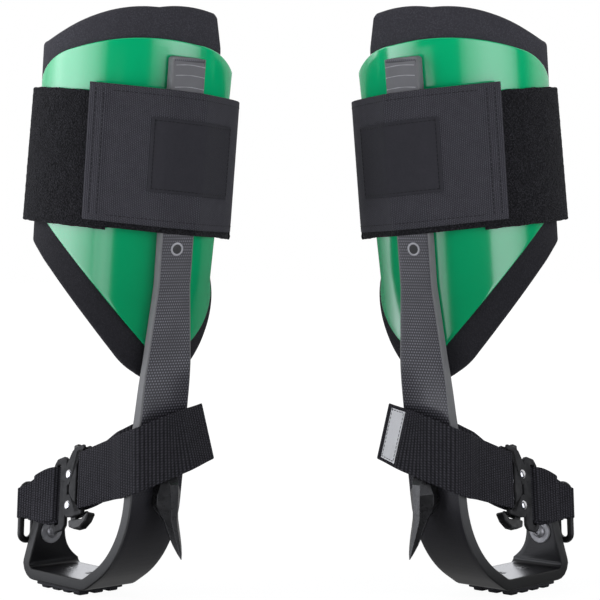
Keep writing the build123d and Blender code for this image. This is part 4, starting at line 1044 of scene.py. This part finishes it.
# Tread, eyelets, screws, tag and the shank's top cap
tread = {"length": 54.0, "width": 40.0, "base": 2.5, "lugHeight": 2.5, "lug": 9.0, "pitch": 13.0, "corner": 2.5,
         "long": 4, "wide": 3, "taper": 0.35, "screws": (-14.0, 14.0),
         "head": [(0.05, -0.5), (1.3, -0.5), (1.3, 0.35), (3.6, 0.3), (4.4, 0.05), (4.4, -0.6), (0.05, -0.8)]}
eyelet = {"heights": (27.0, 53.0), "holeShade": [(0.05, 0.06), (3.3, 0.06), (3.3, -0.5), (0.05, -0.5)],
          "ring": [(3.2, -1.5), (3.2, 0.0), (3.7, 0.15), (4.4, 0.12), (4.9, -0.1), (4.9, -0.4), (4.0, -1.5)]}
cap = {"start": 128.0, "side": 0.15, "ridges": (137.0, 145.0, 152.0), "ridge": 0.6, "slant": 0.06,
       "rows": (0.0, 1.0, 12.0, 22.0, 26.0, 28.6, 29.6, 30.0), "scale": (0.97, 1.0, 1.0, 1.0, 0.995, 0.96, 0.9, 0.8)}
tag = {"width": 16.0, "height": 37.0, "thick": 0.6, "inset": 5.5, "seamInset": 1.2}


def makeTread(side):
    under = -bar["thick"]
    slab = plateShell(boxOutline(tread["length"], tread["width"], tread["corner"], 5), upward * under, rowAxes,
                      -tread["base"], 0.0, 0.3)
    outline = boxOutline(tread["lug"], tread["lug"], 1.0, 3)
    foot = outline * (1 - 2 * tread["taper"] / tread["lug"])
    rings = [(outline, 0.2), (foot, 0.5 - tread["lugHeight"]), (foot * 0.9, -tread["lugHeight"])]
    lug = gridShell(np.stack([np.insert(ring, 2, z, axis=1) for ring, z in rings]))
    x, y = ((np.arange(count) - (count - 1) / 2) * tread["pitch"] for count in (tread["long"], tread["wide"]))
    grid = np.stack(np.meshgrid(x, y, [under - tread["base"]], indexing="ij"), -1).reshape(-1, 3)
    addPiece("lugged_tread", side, [slab, repeatShell(lug, grid, rowAxes[None])], "frame", [rubberTread],
             ["stirrup_tread"])


def makeSmallMetal(side):
    spots = [(legPoint(face, 0.0, height), (legSide, legUp, legOut * out)) for height in eyelet["heights"]
             for out, face in ((1, bar["seat"] + bar["thick"]), (-1, bar["seat"]))]
    rings = [latheShell(eyelet["ring"], *spot, 32, closed=True) for spot in spots]
    addPiece("eyelet_rings", side, rings, "frame", [washerSteel], ["hole_eyelets"])
    # a black disc in each eyelet ring, painted shade standing for the dark hole
    holeShades = [latheShell(eyelet["holeShade"], *spot, 24) for spot in spots]
    addPiece("eyelet_hole_shade", side, holeShades, "frame", [blackSteel], ())
    heads = [latheShell(tread["head"], inward * x, rowAxes, 28) for x in tread["screws"]]
    addPiece("tread_screw_heads", side, heads, "frame", [blackSteel], ["tread_screws"])


def makeCap(side):
    # a moulded cap over the top of the shank, with a few raised lines across it
    width, deep = bar["upperWidth"] + 2 * cap["side"], bar["thick"] + 2 * cap["side"] * 0.6
    place = roundBox(width, deep, 1.6, flats=8)[None] * np.array(cap["scale"])[:, None, None]
    height = cap["start"] + np.array(cap["rows"])[:, None] - cap["slant"] * place[..., 0]
    seat = bar["seat"] + bar["thick"] / 2
    shells = [gridShell(legPoint(seat + place[..., 1], place[..., 0], height))]
    y = np.linspace(-width / 2 + 2.6, width / 2 - 0.8, 24)
    bend = 1.2 * np.cos(np.linspace(-1.3, 1.3, 24)) - cap["slant"] * y
    for ridge in cap["ridges"]:
        path = legPoint(seat + deep / 2 + 0.08 - cap["ridge"], y, ridge + bend)
        first = unit(np.cross(aheadOf(path, closed=False), heelward + upward * 0.01))
        shells.append({**tubeShell(path, cap["ridge"], first, 8), "material": 1})
    addPiece("shank_cap", side, shells, "frame", [capRubber, capLine], ())


def makeTag():
    # on the straight run from the gaff's stem to the heel fold
    root = np.array((ankle["stemSide"], ankle["gaffY"] + 8))
    fold = np.array((ankle["stemSide"] - 7, ankle["heelFold"]))
    along = unit(fold - root)
    out = np.array((along[1], -along[0]))
    surface = fold + out * (ankle["thick"] + 0.1) - along * (tag["inset"] + tag["width"] / 2)

    def onStrap(u, v, lift):
        place = surface + np.multiply.outer(u, along) + np.multiply.outer(lift, out)
        return slopedStrap(place, v)

    profile = roundBox(tag["width"], tag["thick"], 0.2, flats=10)
    heights = np.linspace(-tag["height"] / 2, tag["height"] / 2, 25)
    u, v, lift = np.broadcast_arrays(profile[:, 0], heights[:, None], profile[:, 1] + tag["thick"] / 2)
    shells = [gridShell(onStrap(u, v, lift), uv=weaveUv(heights, profile[:, 0])[..., ::-1])]
    half, tall = tag["width"] / 2 - tag["seamInset"], tag["height"] / 2 - tag["seamInset"]
    for corners in (((-half, -tall), (-half, tall)), ((half, -tall), (half, tall)), ((-half, tall), (half, tall)),
                    ((-half, -tall), (half, -tall))):
        line = np.linspace(*corners, 30)
        shells.append(stitchShell(onStrap(line[:, 0], line[:, 1], np.full(30, tag["thick"])), np.append(out, 0.0)))
    addPiece("blank_tag", "left", shells, "frame", [tagCloth, threadCloth], ["strap_tag"])


makePair("small pieces", makeTread, makeSmallMetal, makeCap)
makeTag()

# CAD nodes that keep their own shape get the same finishes
keptFinish = {"gaff_bolts": gaffSteel, "gaff_nuts": blackSteel, "cuff_bolts": blackSteel, "cuff_nut_plate": washerSteel,
              "clip_spring": brightSteel, "anchor_chape": blackSteel, "anchor_nut": blackSteel}
for side in sides:
    for node, finish in keptFinish.items():
        mesh = nodes[f"{side}_{node}"].data
        mesh.materials.clear()
        mesh.materials.append(finish)

# Studio: white all round for the camera, tall soft boxes to the left and right, and a soft top light
# each soft box: the side of the pair, bottom, top, then degrees round its climber with the radiance there
studio = {"ambient": 0.14, "dark": 0.008, "low": 0.3, "tint": (0.95, 0.97, 1.04), "away": 1.2, "apart": 0.12,
          "topPower": 3.2, "backPower": 12.0, "floorGlow": (0.22, 0.6), "floorWhite": 0.9, "floorSize": 6.0,
          "stripStep": 6.0,
          "boxes": ((-1, -0.4, 0.08, ((14, 1.4), (24, 2.1), (34, 1.4))),
                    (-1, -0.4, 1.1, ((32, 0.4), (42, 2.2), (56, 3.3), (68, 4.2), (96, 4.1), (108, 1.2), (120, 0.3))),
                    (1, 0.08, 1.1, ((6, 0.6), (14, 1.6), (28, 2.5))),
                    (1, -0.4, 1.1, ((28, 2.6), (36, 3.0), (52, 2.9), (64, 2.1), (72, 1.0))))}


def mixShaders(tree, share, first, second, output):
    mix = addNode(tree, "MixShader", i0=share, i1=first, i2=second)[0]
    tree.links.new(mix, tree.nodes[output].inputs["Surface"])


def makeWorld():
    # white for the camera; reflections see white behind the pair, and all other rays a dim grey
    world = bpy.data.worlds.new("studio")
    bpy.context.scene.world = world
    world.use_nodes = True
    tree = world.node_tree
    white = tree.nodes["Background"]
    white.inputs["Color"].default_value = (1, 1, 1, 1)
    rays = addNode(tree, "LightPath")
    mirror = calc(tree, "MAXIMUM", rays["Is Glossy Ray"], rays["Is Transmission Ray"])
    glow = ramp(tree, mirror, 0.0, 1.0, To_Min=studio["ambient"], To_Max=studio["dark"])
    dim = addNode(tree, "Background", Color=(1, 1, 1, 1), Strength=glow)[0]
    ways = addNode(tree, "SeparateXYZ", Vector=addNode(tree, "TexCoord")["Generated"])
    behind = calc(tree, "MULTIPLY", ramp(tree, ways["Y"], -0.1, 0.35, "SMOOTHSTEP"),
                  ramp(tree, ways["Z"], -0.1, 0.05, To_Min=studio["low"]))
    share = calc(tree, "MAXIMUM", rays["Is Camera Ray"], calc(tree, "MULTIPLY", mirror, behind))
    mixShaders(tree, share, dim, white.outputs[0], "World Output")


def makeFloor():
    # a white plane that takes shadows near the object and fades to plain white further out
    size, z = studio["floorSize"], -(bar["thick"] + tread["base"] + tread["lugHeight"]) * mm
    mesh = bpy.data.meshes.new("floor")
    mesh.from_pydata([(-size, -size, z), (size, -size, z), (size, size, z), (-size, size, z)], [], [(0, 1, 2, 3)])
    floor = addObject("floor", mesh)
    floor.visible_glossy = False
    material, tree = newMaterial("floorWhite")
    tree.nodes.remove(tree.nodes["Principled BSDF"])
    matte = addNode(tree, "BsdfDiffuse", Color=(0.8, 0.8, 0.8, 1))[0]
    glow = addNode(tree, "Emission", Color=(1, 1, 1, 1), Strength=1.06)[0]
    centre = addNode(tree, "Mapping", Vector=objectSpace(tree), Location=(-pairWidth * mm / 2, 0.02, 0),
                     Scale=(0.62, 1.0, 0.0))[0]
    far = addNode(tree, "VectorMath", {"operation": "LENGTH"}, i0=centre)["Value"]
    white = calc(tree, "MAXIMUM", ramp(tree, far, *studio["floorGlow"], "SMOOTHSTEP"), studio["floorWhite"])
    white = calc(tree, "MULTIPLY", white, addNode(tree, "LightPath")["Is Camera Ray"])
    mixShaders(tree, white, matte, glow, "Material Output")
    mesh.materials.append(material)


def addBox(name, place, target, size, power):
    light = bpy.data.lights.new(name, "AREA")
    light.shape = "RECTANGLE"
    light.size, light.size_y = size
    light.energy = power
    light.color = studio["tint"]
    lamp = addObject(name, light)
    lamp.visible_camera = False
    lamp.location = place
    aim = Vector(target) - Vector(place)
    lamp.rotation_euler = aim.to_track_quat("-Z", "Y").to_euler()


def makeStudio():
    makeWorld()
    makeFloor()
    middle = pairWidth * mm / 2
    for way, bottom, top, knots in studio["boxes"]:
        # a soft box is a row of narrow strips round its climber, so that its reflection fades evenly
        angles, radiances = np.array(knots).T
        climber = middle + way * studio["apart"]
        count = round((angles[-1] - angles[0]) / studio["stripStep"])
        turns = np.radians(np.linspace(angles[0], angles[-1], count + 1))
        ends = np.stack((climber + way * studio["away"] * np.sin(turns), -studio["away"] * np.cos(turns)), 1)
        places, wide = (ends[1:] + ends[:-1]) / 2, np.linalg.norm(ends[1] - ends[0])
        height, tall = (bottom + top) / 2, top - bottom
        powers = np.interp((turns[1:] + turns[:-1]) / 2, np.radians(angles), radiances) * math.pi * wide * tall
        for place, power in zip(places, powers):
            addBox("softBox", (*place, height), (climber, 0, height), (wide, tall), power)
    addBox("topBox", (middle, -0.2, 1.5), (middle, 0, 0.2), (1.2, 1.0), studio["topPower"])
    addBox("backBox", (middle, 1.6, 0.8), (middle, 0, 0.2), (1.6, 1.2), studio["backPower"])


view = {"place": (0.1617, -1.530, 0.267), "pitch": 2.563, "lens": 126.0, "sensor": 36.0}


def makeCamera():
    data = bpy.data.cameras.new("camera")
    data.lens, data.sensor_width = view["lens"], view["sensor"]
    camera = addObject("camera", data)
    camera.location = view["place"]
    camera.rotation_euler = (math.radians(90 - view["pitch"]), 0, 0)
    bpy.context.scene.camera = camera


makeStudio()
makeCamera()
bpy.context.scene.view_settings.view_transform = "Standard"

triangles = sum(len(piece.data.polygons) * 2 for piece in made)
print("pieces:", len(made), "with about", triangles, "triangles")
